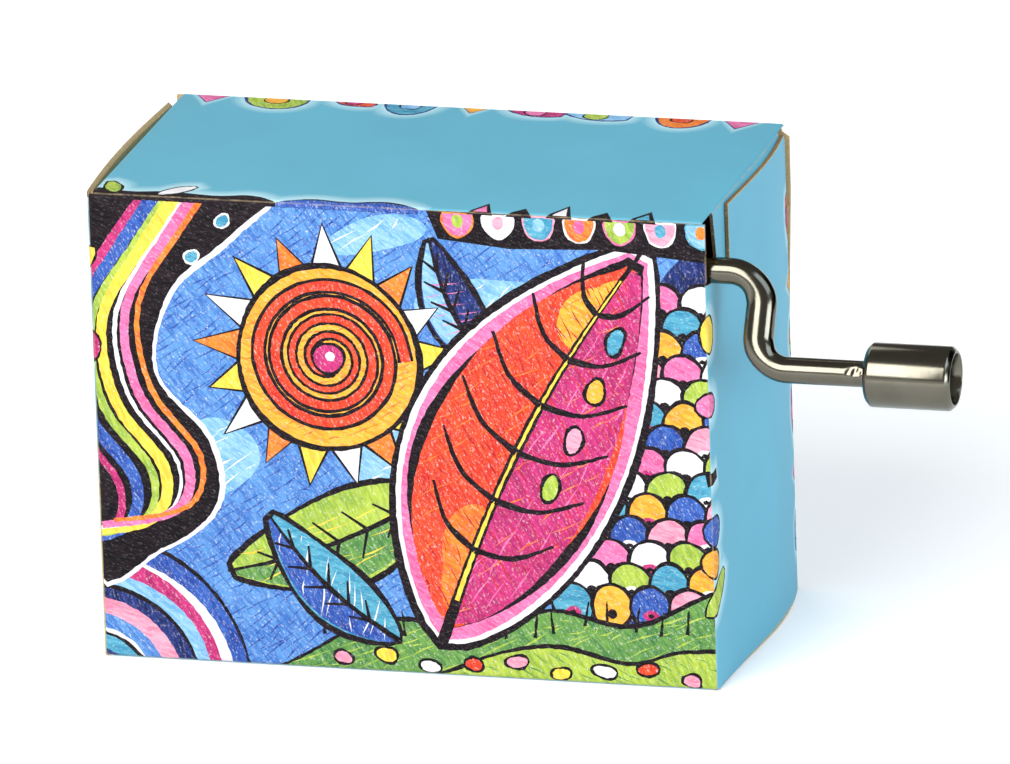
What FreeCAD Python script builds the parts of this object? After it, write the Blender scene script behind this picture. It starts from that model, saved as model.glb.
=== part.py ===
import FreeCAD, Part
import math
import os
import re
import Sketcher
from FreeCAD import Vector

# A hand-cranked music box: an 18-note movement stuck under the top of a small tuck-end carton.
# X runs along the width, the crank leaves at +X, the front is -Y, and z = 0 is the table.
# The origin is the centre of the carton's bottom face. All sizes are millimetres.

SIZES = {
    # Carton
    "box_wide": 65.0,
    "box_deep": 34.0,
    "box_tall": 50.0,
    "card_thick": 0.45,
    "corner_round": 0.6,
    "glue_flap_deep": 11.0,
    "glue_flap_inset": 1.0,
    # End panels, tuck flaps and dust flaps
    "panel_drop": 0.6,
    "panel_lift": 0.3,
    "right_bow": 0.8,
    "left_bow": 0.8,
    "notch_deep": 8.5,
    "notch_tall": 7.4,
    "panel_chamfer": 2.0,
    "tuck_gap": 0.5,
    "tuck_long": 9.5,
    "tuck_margin": 3.0,
    "tuck_round": 4.0,
    "dust_inset": 0.5,
    "dust_start": 2.9,
    "dust_taper": 2.9,
    "dust_long": 13.0,
    "dust_round": 1.5,
    # Adhesive pad
    "pad_thick": 0.8,
    "pad_long": 30.0,
    "pad_deep": 24.0,
    # Fits
    "running_gap": 0.06,
    "fit_gap": 0.02,
    "side_gap": 0.3,
    # Crank
    "shaft_behind": 2.4,
    "shaft_below": 5.7,
    "wire_radius": 1.35,
    "journal_radius": 1.0,
    "crank_reach": 5.25,
    "crank_offset": 9.7,
    "shaft_bend": 3.3,
    "handle_bend": 3.2,
    "crank_lean": 20.0,
    "pinch_wide": 3.5,
    "pinch_thick": 1.8,
    "pinch_long": 1.6,
    "peen_radius": 1.8,
    "peen_thick": 0.5,
    "ring_radius": 1.65,
    "ring_thick": 0.6,
    # Knob
    "knob_start": 16.9,
    "knob_long": 9.1,
    "knob_radius": 3.3,
    "knob_chamfer": 0.5,
    "recess_radius": 2.6,
    "recess_deep": 2.3,
    # Worm and wheel
    "tooth_module": 0.4,
    "wheel_teeth": 28.0,
    "worm_turns": 5.0,
    "tooth_high": 0.3,
    "tooth_deep": 0.4,
    "tooth_thick": 0.5,
    "flank_angle": 20.0,
    "wheel_thick": 2.4,
    "wheel_rim": 0.9,
    "hub_radius": 2.2,
    "web_deep": 0.6,
    # Pinned cylinder and its arbor
    "cylinder_inset": 12.5,
    "cylinder_radius": 6.5,
    "cylinder_wall": 0.6,
    "cylinder_long": 19.4,
    "cap_thick": 1.2,
    "arbor_radius": 1.0,
    "arbor_end": 0.3,
    "track_pitch": 1.0,
    "pin_radius": 0.22,
    "pin_high": 0.75,
    # Comb
    "comb_long": 20.6,
    "comb_thick": 1.0,
    "comb_plate": 7.0,
    "comb_land": 1.0,
    "comb_slant": 3.0,
    "reed_thick": 0.5,
    "slot_wide": 0.22,
    "tip_gap": 0.15,
    "weight_long": 2.4,
    "weight_high": 1.1,
    "weight_wide": 0.7,
    "weight_inset": 0.3,
    # Bedplate, lugs, brackets and screws
    "plate_deep": 32.0,
    "plate_thick": 1.6,
    "plate_inset": 2.0,
    "plate_overhang": 1.0,
    "plate_round": 2.0,
    "mount_radius": 1.3,
    "mount_inset": 3.0,
    "lug_thick": 1.4,
    "lug_wide": 7.0,
    "lug_bow": 2.8,
    "bush_radius": 1.8,
    "bracket_thick": 0.8,
    "bracket_span": 16.0,
    "bracket_foot": 4.2,
    "bracket_deep": 6.6,
    "bracket_rim": 0.25,
    "bracket_tail": 1.9,
    "bracket_round": 1.2,
    "small_shank": 0.8,
    "small_head": 1.5,
    "small_high": 0.8,
    "comb_shank": 1.1,
    "comb_head": 2.0,
    "comb_high": 1.2,
    "comb_screw_deep": 5.0,
    "screw_spread": 12.0,
    "screw_slot": 0.4,
}

TRACKS = 18
BASS_REEDS = 6
TUNE_STEPS = 54
SCALE_STEP = 7
BASS_HOLD = 3
BASS_STEP = 4
BASS_TRACKS = 9
PIN_SIDES = 6
PIN_START_ANGLE = 1.7
SAME_PLACE = 1e-4

document = FreeCAD.newDocument("music_box")
sheet = document.addObject("Spreadsheet::Sheet", "Sizes")
for row, (alias, value) in enumerate(SIZES.items(), start=1):
    sheet.set(f"A{row}", alias)
    sheet.set(f"B{row}", str(value))
    sheet.setAlias(f"B{row}", alias)
document.recompute()

# Places that several pieces share, written in terms of the sheet
HALF_WIDE = "(box_wide / 2)"
HALF_DEEP = "(box_deep / 2)"
THROUGH = "(2 * (box_wide + box_deep + box_tall))"
PANEL_TOP = "(box_tall - panel_drop)"
PANEL_TALL = "(box_tall - panel_drop - panel_lift)"
COMB_HALF = f"({TRACKS} * track_pitch / 2)"
TUCK_Y = "(box_deep / 2 - card_thick - tuck_gap)"
DUST_X = "(box_wide / 2 - dust_inset)"
SHAFT_Y = "(-box_deep / 2 + shaft_behind)"
SHAFT_Z = "(box_tall - shaft_below)"
WORM_PITCH_RADIUS = "(wire_radius - tooth_high)"
WHEEL_PITCH_RADIUS = "(wheel_teeth * tooth_module / 2)"
WORM_LEAD = "(pi * tooth_module)"
AXIS_X = "(box_wide / 2 - cylinder_inset)"
AXIS_Z = f"({SHAFT_Z} - {WORM_PITCH_RADIUS} - {WHEEL_PITCH_RADIUS})"
FRONT_LUG_Y = f"({SHAFT_Y} + wheel_thick / 2 + side_gap)"
CYLINDER_Y = f"({FRONT_LUG_Y} + lug_thick + side_gap)"
REAR_LUG_Y = f"({CYLINDER_Y} + cylinder_long + side_gap)"
MIDDLE_Y = f"({CYLINDER_Y} + cylinder_long / 2)"
PLATE_TOP = "(box_tall - card_thick - pad_thick)"
PLATE_LOW = f"({PLATE_TOP} - plate_thick)"
PLATE_RIGHT = "(box_wide / 2 - plate_inset)"
TIP_X = f"({AXIS_X} - cylinder_radius - pin_high - tip_gap)"
COMB_X = f"({TIP_X} - comb_long)"
PLATE_LEFT = f"({COMB_X} - plate_overhang)"
COMB_LOW = f"({AXIS_Z} - reed_thick / 2)"
COMB_TOP = f"({COMB_LOW} + comb_thick)"
COMB_SCREWS = [
    (f"({COMB_X} + comb_plate / 2)", f"({MIDDLE_Y} - screw_spread / 2)"),
    (f"({COMB_X} + comb_plate / 2)", f"({MIDDLE_Y} + screw_spread / 2)"),
]
INNER_EAR_X = f"({AXIS_X} - bracket_span / 2)"
OUTER_EAR_X = f"({AXIS_X} + bracket_span / 2)"
SHOULDER_X = f"({INNER_EAR_X} + side_gap)"
JOURNAL_LONG = "(side_gap + bracket_thick + side_gap + ring_thick + arbor_end)"
BRACKET_Y = f"({SHAFT_Y} - wire_radius - running_gap - bracket_rim)"
BRACKET_SCREW_Y = f"({BRACKET_Y} + bracket_deep - small_head - bracket_rim)"
BRACKET_SCREW_INSET = "(bracket_foot - small_head - bracket_rim)"
BRACKET_SCREWS = [
    (f"({OUTER_EAR_X} - {BRACKET_SCREW_INSET})", BRACKET_SCREW_Y),
    (f"({INNER_EAR_X} + {BRACKET_SCREW_INSET})", BRACKET_SCREW_Y),
]
SMALL_SHANK_LONG = "(bracket_thick + plate_thick - bracket_rim)"


def sized(text):
    """Name the sheet in front of each alias."""
    return re.sub(r"[a-z]+(?:_[a-z]+)+", lambda found: "Sizes." + found.group(), text)


def value_of(text):
    """Work out an expression in sheet aliases."""
    return float(sheet.evalExpression(sized(text)))


def bind(thing, **expressions):
    """Bind properties, or parts of a placement, to expressions in sheet aliases."""
    for name, text in expressions.items():
        path = {"x": "Placement.Base.x", "y": "Placement.Base.y", "z": "Placement.Base.z"}.get(name, name)
        thing.setExpression(path, sized(text))


def origin_feature(body, role):
    """Find an origin plane or axis of a body."""
    return next(item for item in body.Origin.OriginFeatures if item.Role == role)


def new_body(label):
    """Make an empty body with a plain label."""
    body = document.addObject("PartDesign::Body", label)
    body.Label = label
    return body


def new_sketch(body, role, name, offset=None):
    """Attach a sketch to one of the body's own origin planes."""
    sketch = body.newObject("Sketcher::SketchObject", name)
    sketch.AttachmentSupport = [(origin_feature(body, role), "")]
    sketch.MapMode = "FlatFace"
    if offset:
        sketch.setExpression(".AttachmentOffset.Base.z", sized(offset))
    return sketch


def add_outline(sketch, corners, bows=None, closed=True):
    """Draw lines from corner to corner. Side i starts at corner i and is bowed to its right by bows[i]."""
    bows = bows or {}
    first = sketch.GeometryCount
    points = [Vector(value_of(x), value_of(y), 0) for x, y in corners]
    count = len(corners)
    sides = count if closed else count - 1
    for side in range(sides):
        start = points[side]
        end = points[(side + 1) % count]
        if side in bows:
            along = end - start
            right = Vector(along.y, -along.x, 0).normalize()
            middle = (start + end) / 2 + right * value_of(bows[side])
            sketch.addGeometry(Part.Arc(start, middle, end), False)
        else:
            sketch.addGeometry(Part.LineSegment(start, end), False)
    # An arc may be stored with its ends swapped, so each side keeps the numbers of its two ends
    ends = []
    for side in range(sides):
        start_is_first = sketch.getPoint(first + side, 1).isEqual(points[side], SAME_PLACE)
        ends.append((1, 2) if start_is_first else (2, 1))
    for side in range(sides if closed else sides - 1):
        following = (side + 1) % count
        sketch.addConstraint(Sketcher.Constraint(
            "Coincident", first + side, ends[side][1], first + following, ends[following][0]))
    for number, (x, y) in enumerate(corners):
        side, end = (number, ends[number][0]) if number < sides else (number - 1, ends[number - 1][1])
        for axis, text, size in (("DistanceX", x, points[number].x), ("DistanceY", y, points[number].y)):
            index = sketch.addConstraint(Sketcher.Constraint(axis, -1, 1, first + side, end, size))
            sketch.setExpression(f"Constraints[{index}]", sized(text))
    for side, bow in bows.items():
        (x1, y1), (x2, y2) = corners[side], corners[(side + 1) % count]
        half_chord = f"((({x2}) - ({x1}))^2 + (({y2}) - ({y1}))^2) / 4"
        radius = f"({half_chord} + ({bow})^2) / (2 * abs({bow}))"
        index = sketch.addConstraint(Sketcher.Constraint("Radius", first + side, value_of(radius)))
        sketch.setExpression(f"Constraints[{index}]", sized(radius))


def add_circle(sketch, x, y, radius):
    """Draw a circle whose centre and radius are bound to the sheet."""
    centre = Vector(value_of(x), value_of(y), 0)
    circle = sketch.addGeometry(Part.Circle(centre, Vector(0, 0, 1), value_of(radius)), False)
    for kind, text, number in (("DistanceX", x, centre.x), ("DistanceY", y, centre.y)):
        index = sketch.addConstraint(Sketcher.Constraint(kind, -1, 1, circle, 3, number))
        sketch.setExpression(f"Constraints[{index}]", sized(text))
    index = sketch.addConstraint(Sketcher.Constraint("Radius", circle, value_of(radius)))
    sketch.setExpression(f"Constraints[{index}]", sized(radius))


def rectangle(x_low, x_high, y_low, y_high):
    """Corners of a rectangle, as expressions."""
    return [(x_low, y_low), (x_high, y_low), (x_high, y_high), (x_low, y_high)]


def pad(body, sketch, length, name, reverse=False, both_ways=False):
    """Extrude a sketch by an expression."""
    feature = body.newObject("PartDesign::Pad", name)
    feature.Profile = sketch
    feature.Reversed = reverse
    if both_ways:
        feature.SideType = "Symmetric"
    bind(feature, Length=length)
    return feature


def pocket(body, sketch, length, name, reverse=False, both_ways=False):
    """Cut a sketch into the body, and check that the cut removes something."""
    document.recompute()
    before = body.Shape.Volume
    feature = body.newObject("PartDesign::Pocket", name)
    feature.Profile = sketch
    feature.Reversed = reverse
    if both_ways:
        feature.SideType = "Symmetric"
    bind(feature, Length=length)
    document.recompute()
    if not body.Shape.Volume < before:
        raise RuntimeError(f"{name} cuts nothing")
    return feature


def edges_along(shape, direction, keep):
    """Names of the straight edges that run along a direction and whose middle passes a test."""
    names = []
    for number, edge in enumerate(shape.Edges, start=1):
        if not isinstance(edge.Curve, Part.Line):
            continue
        if abs(edge.Curve.Direction.dot(direction)) < 1 - SAME_PLACE:
            continue
        if keep(edge.CenterOfMass):
            names.append(f"Edge{number}")
    return names


def fillet(body, feature, direction, radius, name, keep=lambda middle: True):
    """Round the straight edges of a feature that run along a direction."""
    document.recompute()
    rounding = body.newObject("PartDesign::Fillet", name)
    rounding.Base = (feature, edges_along(feature.Shape, direction, keep))
    bind(rounding, Radius=radius)
    return rounding


X_AXIS = Vector(1, 0, 0)
Y_AXIS = Vector(0, 1, 0)
Z_AXIS = Vector(0, 0, 1)


def make_sleeve():
    """Front, top, back and bottom panels, folded from one card and glued along the bottom."""
    body = new_body("carton_sleeve")
    tube = new_sketch(body, "YZ_Plane", "sleeve_section")
    add_outline(tube, rectangle(f"-{HALF_DEEP}", HALF_DEEP, "0", "box_tall"))
    block = pad(body, tube, "box_wide", "sleeve_block", both_ways=True)
    fillet(body, block, X_AXIS, "corner_round", "sleeve_creases")
    hollow = new_sketch(body, "YZ_Plane", "sleeve_hollow_section")
    add_outline(hollow, rectangle(f"-{HALF_DEEP} + card_thick", f"{HALF_DEEP} - card_thick",
                                  "card_thick", "box_tall - card_thick"))
    pocket(body, hollow, THROUGH, "sleeve_hollow", both_ways=True)
    for side, name in ((1, "right"), (-1, "left")):
        corner = new_sketch(body, "XY_Plane", f"{name}_front_mitre")
        add_outline(corner, [
            (f"{side} * {HALF_WIDE}", f"-{HALF_DEEP}"),
            (f"{side} * ({HALF_WIDE} + card_thick)", f"-{HALF_DEEP}"),
            (f"{side} * ({HALF_WIDE} + card_thick)", f"-{HALF_DEEP} + card_thick"),
            (f"{side} * ({HALF_WIDE} - card_thick)", f"-{HALF_DEEP} + card_thick"),
        ])
        pocket(body, corner, THROUGH, f"{name}_front_mitre_cut", both_ways=True)
        for level, edge, inward in (("top", "box_tall", "-"), ("bottom", "0", "+")):
            end = new_sketch(body, "XZ_Plane", f"{name}_{level}_end")
            add_outline(end, [
                (f"{side} * {DUST_X}", edge),
                (f"{side} * ({HALF_WIDE} + card_thick)", edge),
                (f"{side} * ({HALF_WIDE} + card_thick)", f"{edge} {inward} card_thick"),
                (f"{side} * ({DUST_X} - card_thick)", f"{edge} {inward} card_thick"),
            ])
            pocket(body, end, "box_deep - 2 * card_thick", f"{name}_{level}_end_cut", both_ways=True)
    flap = new_sketch(body, "YZ_Plane", "glue_flap_section")
    add_outline(flap, rectangle(f"{HALF_DEEP} - card_thick - glue_flap_deep", f"{HALF_DEEP} - card_thick",
                                "card_thick", "2 * card_thick"))
    pad(body, flap, "box_wide - 2 * glue_flap_inset", "glue_flap", both_ways=True)
    return body


def make_end_panel(label, side, bow, notched):
    """An end panel that is creased to the front panel, bows out a little and has cut-off rear corners."""
    body = new_body(label)
    section = new_sketch(body, "XY_Plane", f"{label}_section", "panel_lift")
    add_outline(section, [
        (f"{side} * {HALF_WIDE}", f"-{HALF_DEEP}"),
        (f"{side} * {HALF_WIDE}", TUCK_Y),
        (f"{side} * ({HALF_WIDE} - card_thick)", f"{TUCK_Y} - card_thick"),
        (f"{side} * ({HALF_WIDE} - card_thick)", f"-{HALF_DEEP} + card_thick"),
    ], {0: f"{side} * {bow}", 2: f"-{side} * {bow}"})
    pad(body, section, PANEL_TALL, f"{label}_card")
    corners = new_sketch(body, "YZ_Plane", f"{label}_corners")
    for edge, inward in ((PANEL_TOP, "-"), ("panel_lift", "+")):
        add_outline(corners, [
            (f"{TUCK_Y} - panel_chamfer", edge),
            (TUCK_Y, edge),
            (TUCK_Y, f"{edge} {inward} panel_chamfer"),
        ])
    pocket(body, corners, THROUGH, f"{label}_corner_cut", both_ways=True)
    if notched:
        notch = new_sketch(body, "YZ_Plane", f"{label}_notch")
        add_outline(notch, rectangle(f"-{HALF_DEEP} - card_thick", f"-{HALF_DEEP} + notch_deep",
                                     "box_tall - notch_tall", "box_tall"))
        pocket(body, notch, THROUGH, f"{label}_notch_cut", both_ways=True)
    return body


def make_tuck_flap(label, side):
    """The flap at an end panel's rear edge, tucked in flat against the back panel."""
    body = new_body(label)
    section = new_sketch(body, "XY_Plane", f"{label}_section", "tuck_margin")
    add_outline(section, [
        (f"{side} * {HALF_WIDE}", TUCK_Y),
        (f"{side} * ({HALF_WIDE} - tuck_long)", TUCK_Y),
        (f"{side} * ({HALF_WIDE} - tuck_long)", f"{TUCK_Y} - card_thick"),
        (f"{side} * ({HALF_WIDE} - card_thick)", f"{TUCK_Y} - card_thick"),
    ])
    card = pad(body, section, "box_tall - 2 * tuck_margin", f"{label}_card")
    tip = value_of(HALF_WIDE) - value_of("tuck_long")
    fillet(body, card, Y_AXIS, "tuck_round", f"{label}_corners",
           lambda middle: abs(abs(middle.x) - tip) < SAME_PLACE)
    return body


def make_dust_flap(label, side, edge, inward):
    """A tapered flap folded off the top or bottom panel, just inside an end panel."""
    body = new_body(label)
    plane = f"{DUST_X} - card_thick" if side > 0 else f"-{DUST_X}"
    outline = new_sketch(body, "YZ_Plane", f"{label}_outline", plane)
    tip = f"{edge} {inward} dust_long"
    add_outline(outline, [
        (f"-{HALF_DEEP} + dust_start", edge),
        (f"{HALF_DEEP} - dust_start", edge),
        (f"{HALF_DEEP} - dust_start - dust_taper", tip),
        (f"-{HALF_DEEP} + dust_start + dust_taper", tip),
    ])
    card = pad(body, outline, "card_thick", f"{label}_card")
    height = value_of(tip)
    fillet(body, card, X_AXIS, "dust_round", f"{label}_corners",
           lambda middle: abs(middle.z - height) < SAME_PLACE)
    root = new_sketch(body, "XZ_Plane", f"{label}_mitre")
    add_outline(root, [
        (f"{side} * {DUST_X}", edge),
        (f"{side} * ({DUST_X} - card_thick)", edge),
        (f"{side} * ({DUST_X} - card_thick)", f"{edge} {inward} card_thick"),
    ])
    pocket(body, root, "box_deep", f"{label}_mitre_cut", both_ways=True)
    return body


def add_cylinder(name, radius, height, x, y, z, axis=Z_AXIS):
    """A plain cylinder that starts at a place and runs along an axis."""
    rod = document.addObject("Part::Cylinder", name)
    rod.Placement = FreeCAD.Placement(Vector(0, 0, 0), FreeCAD.Rotation(Z_AXIS, axis))
    bind(rod, Radius=radius, Height=height, x=x, y=y, z=z)
    return rod


def add_box(name, long, deep, tall, x, y, z):
    """A plain block that starts at its lowest corner."""
    block = document.addObject("Part::Box", name)
    bind(block, Length=long, Width=deep, Height=tall, x=x, y=y, z=z)
    return block


def cut(name, base, tool):
    """Take one shape away from another."""
    result = document.addObject("Part::Cut", name)
    result.Base = base
    result.Tool = tool
    return result


def join(name, kind, pieces):
    """Make a Part::MultiFuse or a Part::Compound of several shapes."""
    result = document.addObject(kind, name)
    setattr(result, "Shapes" if kind == "Part::MultiFuse" else "Links", pieces)
    return result


def make_ring(name, outer, inner, height, x, y, z, axis):
    """A round washer, bush or disc with a hole."""
    rim = add_cylinder(f"{name}_rim", outer, height, x, y, z, axis)
    bore = add_cylinder(f"{name}_bore", inner, height, x, y, z, axis)
    return cut(name, rim, bore)


def make_screws(label, shank, head, high, long, slot, places, level):
    """A group of slotted screws that go up into what they hold. Level is the underside they clamp."""
    screws = []
    for number, (x, y) in enumerate(places, start=1):
        name = f"{label}_{number}"
        top = add_cylinder(f"{name}_head", head, high, x, y, f"{level} - {high}")
        stem = add_cylinder(f"{name}_shank", shank, f"{long} + {high} / 2", x, y, f"{level} - {high} / 2")
        blank = join(f"{name}_blank", "Part::MultiFuse", [top, stem])
        groove = add_box(f"{name}_slot", f"2 * {head}", slot, f"{high} / 2",
                         f"{x} - {head}", f"{y} - {slot} / 2", f"{level} - {high}")
        screws.append(cut(name, blank, groove))
    return join(label, "Part::Compound", screws)


def make_bedplate():
    """The cast plate with its comb seat, two arbor lugs and all the screw holes."""
    body = new_body("bedplate")
    outline = new_sketch(body, "XY_Plane", "plate_outline", PLATE_LOW)
    add_outline(outline, rectangle(PLATE_LEFT, PLATE_RIGHT, "-plate_deep / 2", "plate_deep / 2"))
    plate = pad(body, outline, "plate_thick", "plate")
    fillet(body, plate, Z_AXIS, "plate_round", "plate_corners")
    seat = new_sketch(body, "XY_Plane", "seat_outline", PLATE_LOW)
    add_outline(seat, rectangle(COMB_X, f"{COMB_X} + comb_plate",
                                f"{MIDDLE_Y} - {COMB_HALF}", f"{MIDDLE_Y} + {COMB_HALF}"))
    pad(body, seat, f"{PLATE_LOW} - {COMB_TOP}", "comb_seat", reverse=True)
    for name, y in (("front_lug", FRONT_LUG_Y), ("rear_lug", REAR_LUG_Y)):
        lug = new_sketch(body, "XZ_Plane", f"{name}_outline", f"-{y}")
        add_outline(lug, [
            (f"{AXIS_X} - lug_wide / 2", PLATE_LOW),
            (f"{AXIS_X} - lug_wide / 2", AXIS_Z),
            (f"{AXIS_X} + lug_wide / 2", AXIS_Z),
            (f"{AXIS_X} + lug_wide / 2", PLATE_LOW),
        ], {1: "lug_bow"})
        pad(body, lug, "lug_thick", name, reverse=True)
    bush_hole = new_sketch(body, "XZ_Plane", "bush_hole_outline")
    add_circle(bush_hole, AXIS_X, AXIS_Z, "bush_radius + fit_gap")
    pocket(body, bush_hole, THROUGH, "bush_holes", both_ways=True)
    comb_hole = new_sketch(body, "XY_Plane", "comb_hole_outline", COMB_TOP)
    for x, y in COMB_SCREWS:
        add_circle(comb_hole, x, y, "comb_shank + fit_gap")
    pocket(body, comb_hole, "comb_screw_deep + side_gap", "comb_screw_holes", reverse=True)
    plate_hole = new_sketch(body, "XY_Plane", "plate_hole_outline", PLATE_LOW)
    for x, y in BRACKET_SCREWS:
        add_circle(plate_hole, x, y, "small_shank + fit_gap")
    left = f"{PLATE_LEFT} + mount_inset"
    for x, y in ((f"{PLATE_RIGHT} - mount_inset", 1), (left, 1), (left, -1)):
        add_circle(plate_hole, x, f"{y} * (plate_deep / 2 - mount_inset)", "mount_radius")
    pocket(body, plate_hole, "plate_thick", "plate_holes", reverse=True)
    return body


def make_comb():
    """The steel comb: a thick plate under its two screws, milled thin and slotted into reeds."""
    body = new_body("comb")
    low = f"{MIDDLE_Y} - {COMB_HALF}"
    high = f"{MIDDLE_Y} + {COMB_HALF}"
    root = f"{COMB_X} + comb_plate + comb_land"
    outline = new_sketch(body, "XY_Plane", "comb_outline", COMB_LOW)
    add_outline(outline, rectangle(COMB_X, TIP_X, low, high))
    pad(body, outline, "comb_thick", "comb_plate")
    thinned = new_sketch(body, "XY_Plane", "comb_thinned_outline", COMB_TOP)
    add_outline(thinned, [
        (f"{root} + comb_slant", low),
        (f"{TIP_X} + slot_wide", low),
        (f"{TIP_X} + slot_wide", high),
        (root, high),
    ])
    pocket(body, thinned, "comb_thick - reed_thick", "comb_thinned")
    slots = new_sketch(body, "XY_Plane", "comb_slot_outline", COMB_TOP)
    for number in range(1, TRACKS):
        start = f"{root} + comb_slant * {TRACKS - number} / {TRACKS}"
        middle = f"{MIDDLE_Y} + ({number} - {TRACKS} / 2) * track_pitch"
        add_outline(slots, rectangle(start, f"{TIP_X} + slot_wide",
                                     f"{middle} - slot_wide / 2", f"{middle} + slot_wide / 2"))
    pocket(body, slots, "comb_thick", "comb_slots")
    holes = new_sketch(body, "XY_Plane", "comb_hole_outline_in_comb", COMB_TOP)
    for x, y in COMB_SCREWS:
        add_circle(holes, x, y, "comb_shank + fit_gap")
    pocket(body, holes, "comb_thick", "comb_holes")
    return body


def make_comb_weights():
    """Lead weights soldered on top of the bass reeds, near their tips."""
    weights = []
    for track in range(TRACKS - BASS_REEDS, TRACKS):
        middle = f"{MIDDLE_Y} + ({track} + 0.5 - {TRACKS} / 2) * track_pitch"
        weights.append(add_box(f"weight_{track}", "weight_long", "weight_wide", "weight_high",
                               f"{TIP_X} - weight_inset - weight_long", f"{middle} - weight_wide / 2",
                               f"{COMB_LOW} + reed_thick"))
    return join("comb_weights", "Part::Compound", weights)


def make_bracket(label, ear_x, side):
    """A stamped angle screwed under the bedplate. Its ear carries the crank's shaft."""
    body = new_body(label)
    foot_end = f"{ear_x} - {side} * bracket_foot"
    outer = f"{ear_x} + {side} * bracket_thick"
    section = new_sketch(body, "XZ_Plane", f"{label}_section", f"-{BRACKET_Y}")
    add_outline(section, [
        (foot_end, PLATE_LOW),
        (outer, PLATE_LOW),
        (outer, f"{SHAFT_Z} - bracket_tail"),
        (ear_x, f"{SHAFT_Z} - bracket_tail"),
        (ear_x, f"{PLATE_LOW} - bracket_thick"),
        (foot_end, f"{PLATE_LOW} - bracket_thick"),
    ])
    angle = pad(body, section, "bracket_deep", f"{label}_angle", reverse=True)
    level = value_of(f"{SHAFT_Z} - bracket_tail")
    fillet(body, angle, X_AXIS, "bracket_round", f"{label}_corners",
           lambda middle: abs(middle.z - level) < SAME_PLACE)
    journal = "journal_radius" if side < 0 else "wire_radius"
    bore = new_sketch(body, "YZ_Plane", f"{label}_bore_outline", ear_x)
    add_circle(bore, SHAFT_Y, SHAFT_Z, f"{journal} + running_gap")
    pocket(body, bore, "2 * bracket_thick", f"{label}_bore", both_ways=True)
    hole = new_sketch(body, "XY_Plane", f"{label}_hole_outline", PLATE_LOW)
    add_circle(hole, f"{ear_x} - {side} * {BRACKET_SCREW_INSET}", BRACKET_SCREW_Y, "small_shank + fit_gap")
    pocket(body, hole, "bracket_thick", f"{label}_hole")
    return body


def make_crank():
    """The bent wire: journal, cut worm, shaft, arm and handle, with a pinch and a peened end."""
    body = new_body("crank_wire")
    body.Placement = FreeCAD.Placement(Vector(0, 0, 0), FreeCAD.Rotation(X_AXIS, -1))
    bind(body, x=SHOULDER_X, y=SHAFT_Y, z=SHAFT_Z)
    body.setExpression("Placement.Rotation.Angle", sized("-crank_lean * 1 deg"))
    arm = f"({HALF_WIDE} + crank_reach - {SHOULDER_X})"
    end = f"({HALF_WIDE} + knob_start + knob_long - recess_deep + side_gap - {SHOULDER_X})"
    line = new_sketch(body, "XZ_Plane", "crank_line")
    add_outline(line, [
        ("0", "0"),
        (f"{arm} - shaft_bend", "0"),
        (arm, "-shaft_bend"),
        (arm, "-crank_offset + handle_bend"),
        (f"{arm} + handle_bend", "-crank_offset"),
        (end, "-crank_offset"),
    ], {1: "-shaft_bend * (1 - cos(45))", 3: "handle_bend * (1 - cos(45))"}, closed=False)
    section = new_sketch(body, "YZ_Plane", "wire_section")
    add_circle(section, "0", "0", "wire_radius")
    wire = body.newObject("PartDesign::AdditivePipe", "wire")
    wire.Profile = section
    wire.Spine = line
    document.recompute()
    journal = new_sketch(body, "YZ_Plane", "journal_section")
    add_circle(journal, "0", "0", "journal_radius")
    pad(body, journal, JOURNAL_LONG, "journal", reverse=True)
    peen = new_sketch(body, "YZ_Plane", "peen_section", end)
    add_circle(peen, "0", "-crank_offset", "peen_radius")
    pad(body, peen, "peen_thick", "peened_end")
    pinch_end = f"({HALF_WIDE} + knob_start - side_gap - {SHOULDER_X})"
    pinch = new_sketch(body, "XZ_Plane", "pinch_outline")
    add_outline(pinch, rectangle(f"{pinch_end} - pinch_long", pinch_end,
                                 "-crank_offset - pinch_thick / 2", "-crank_offset + pinch_thick / 2"))
    pad(body, pinch, "pinch_wide", "pinch", both_ways=True)
    middle = f"({AXIS_X} - {SHOULDER_X})"
    start = f"({middle} - worm_turns * {WORM_LEAD} / 2)"
    groove = new_sketch(body, "XZ_Plane", "worm_groove_section")
    root = "(wire_radius - tooth_high - tooth_deep)"
    over = "(wire_radius + tooth_high)"
    half_root = f"(({WORM_LEAD} - tooth_thick) / 2 - tooth_deep * tan(flank_angle))"
    half_over = f"(({WORM_LEAD} - tooth_thick) / 2 + 2 * tooth_high * tan(flank_angle))"
    add_outline(groove, [
        (f"{start} - {half_root}", root),
        (f"{start} + {half_root}", root),
        (f"{start} + {half_over}", over),
        (f"{start} - {half_over}", over),
    ])
    worm = body.newObject("PartDesign::SubtractiveHelix", "worm_groove")
    worm.Profile = groove
    worm.ReferenceAxis = (groove, ["H_Axis"])
    worm.Mode = "pitch-turns-angle"
    bind(worm, Pitch=WORM_LEAD, Turns="worm_turns")
    return body


def make_knob():
    """The turned metal barrel that spins on the handle."""
    body = new_body("knob")
    bind(body, x=f"{HALF_WIDE} + knob_start", y=f"{SHAFT_Y} - crank_offset * sin(crank_lean)",
         z=f"{SHAFT_Z} - crank_offset * cos(crank_lean)")
    bore = "wire_radius + running_gap"
    half = new_sketch(body, "XZ_Plane", "knob_half_section")
    add_outline(half, [
        ("0", bore),
        ("0", "knob_radius - knob_chamfer"),
        ("knob_chamfer", "knob_radius"),
        ("knob_long - knob_chamfer", "knob_radius"),
        ("knob_long", "knob_radius - knob_chamfer"),
        ("knob_long", "recess_radius"),
        ("knob_long - recess_deep", "recess_radius"),
        ("knob_long - recess_deep", bore),
    ])
    turned = body.newObject("PartDesign::Revolution", "knob_turned")
    turned.Profile = half
    turned.ReferenceAxis = (half, ["H_Axis"])
    return body


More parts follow.
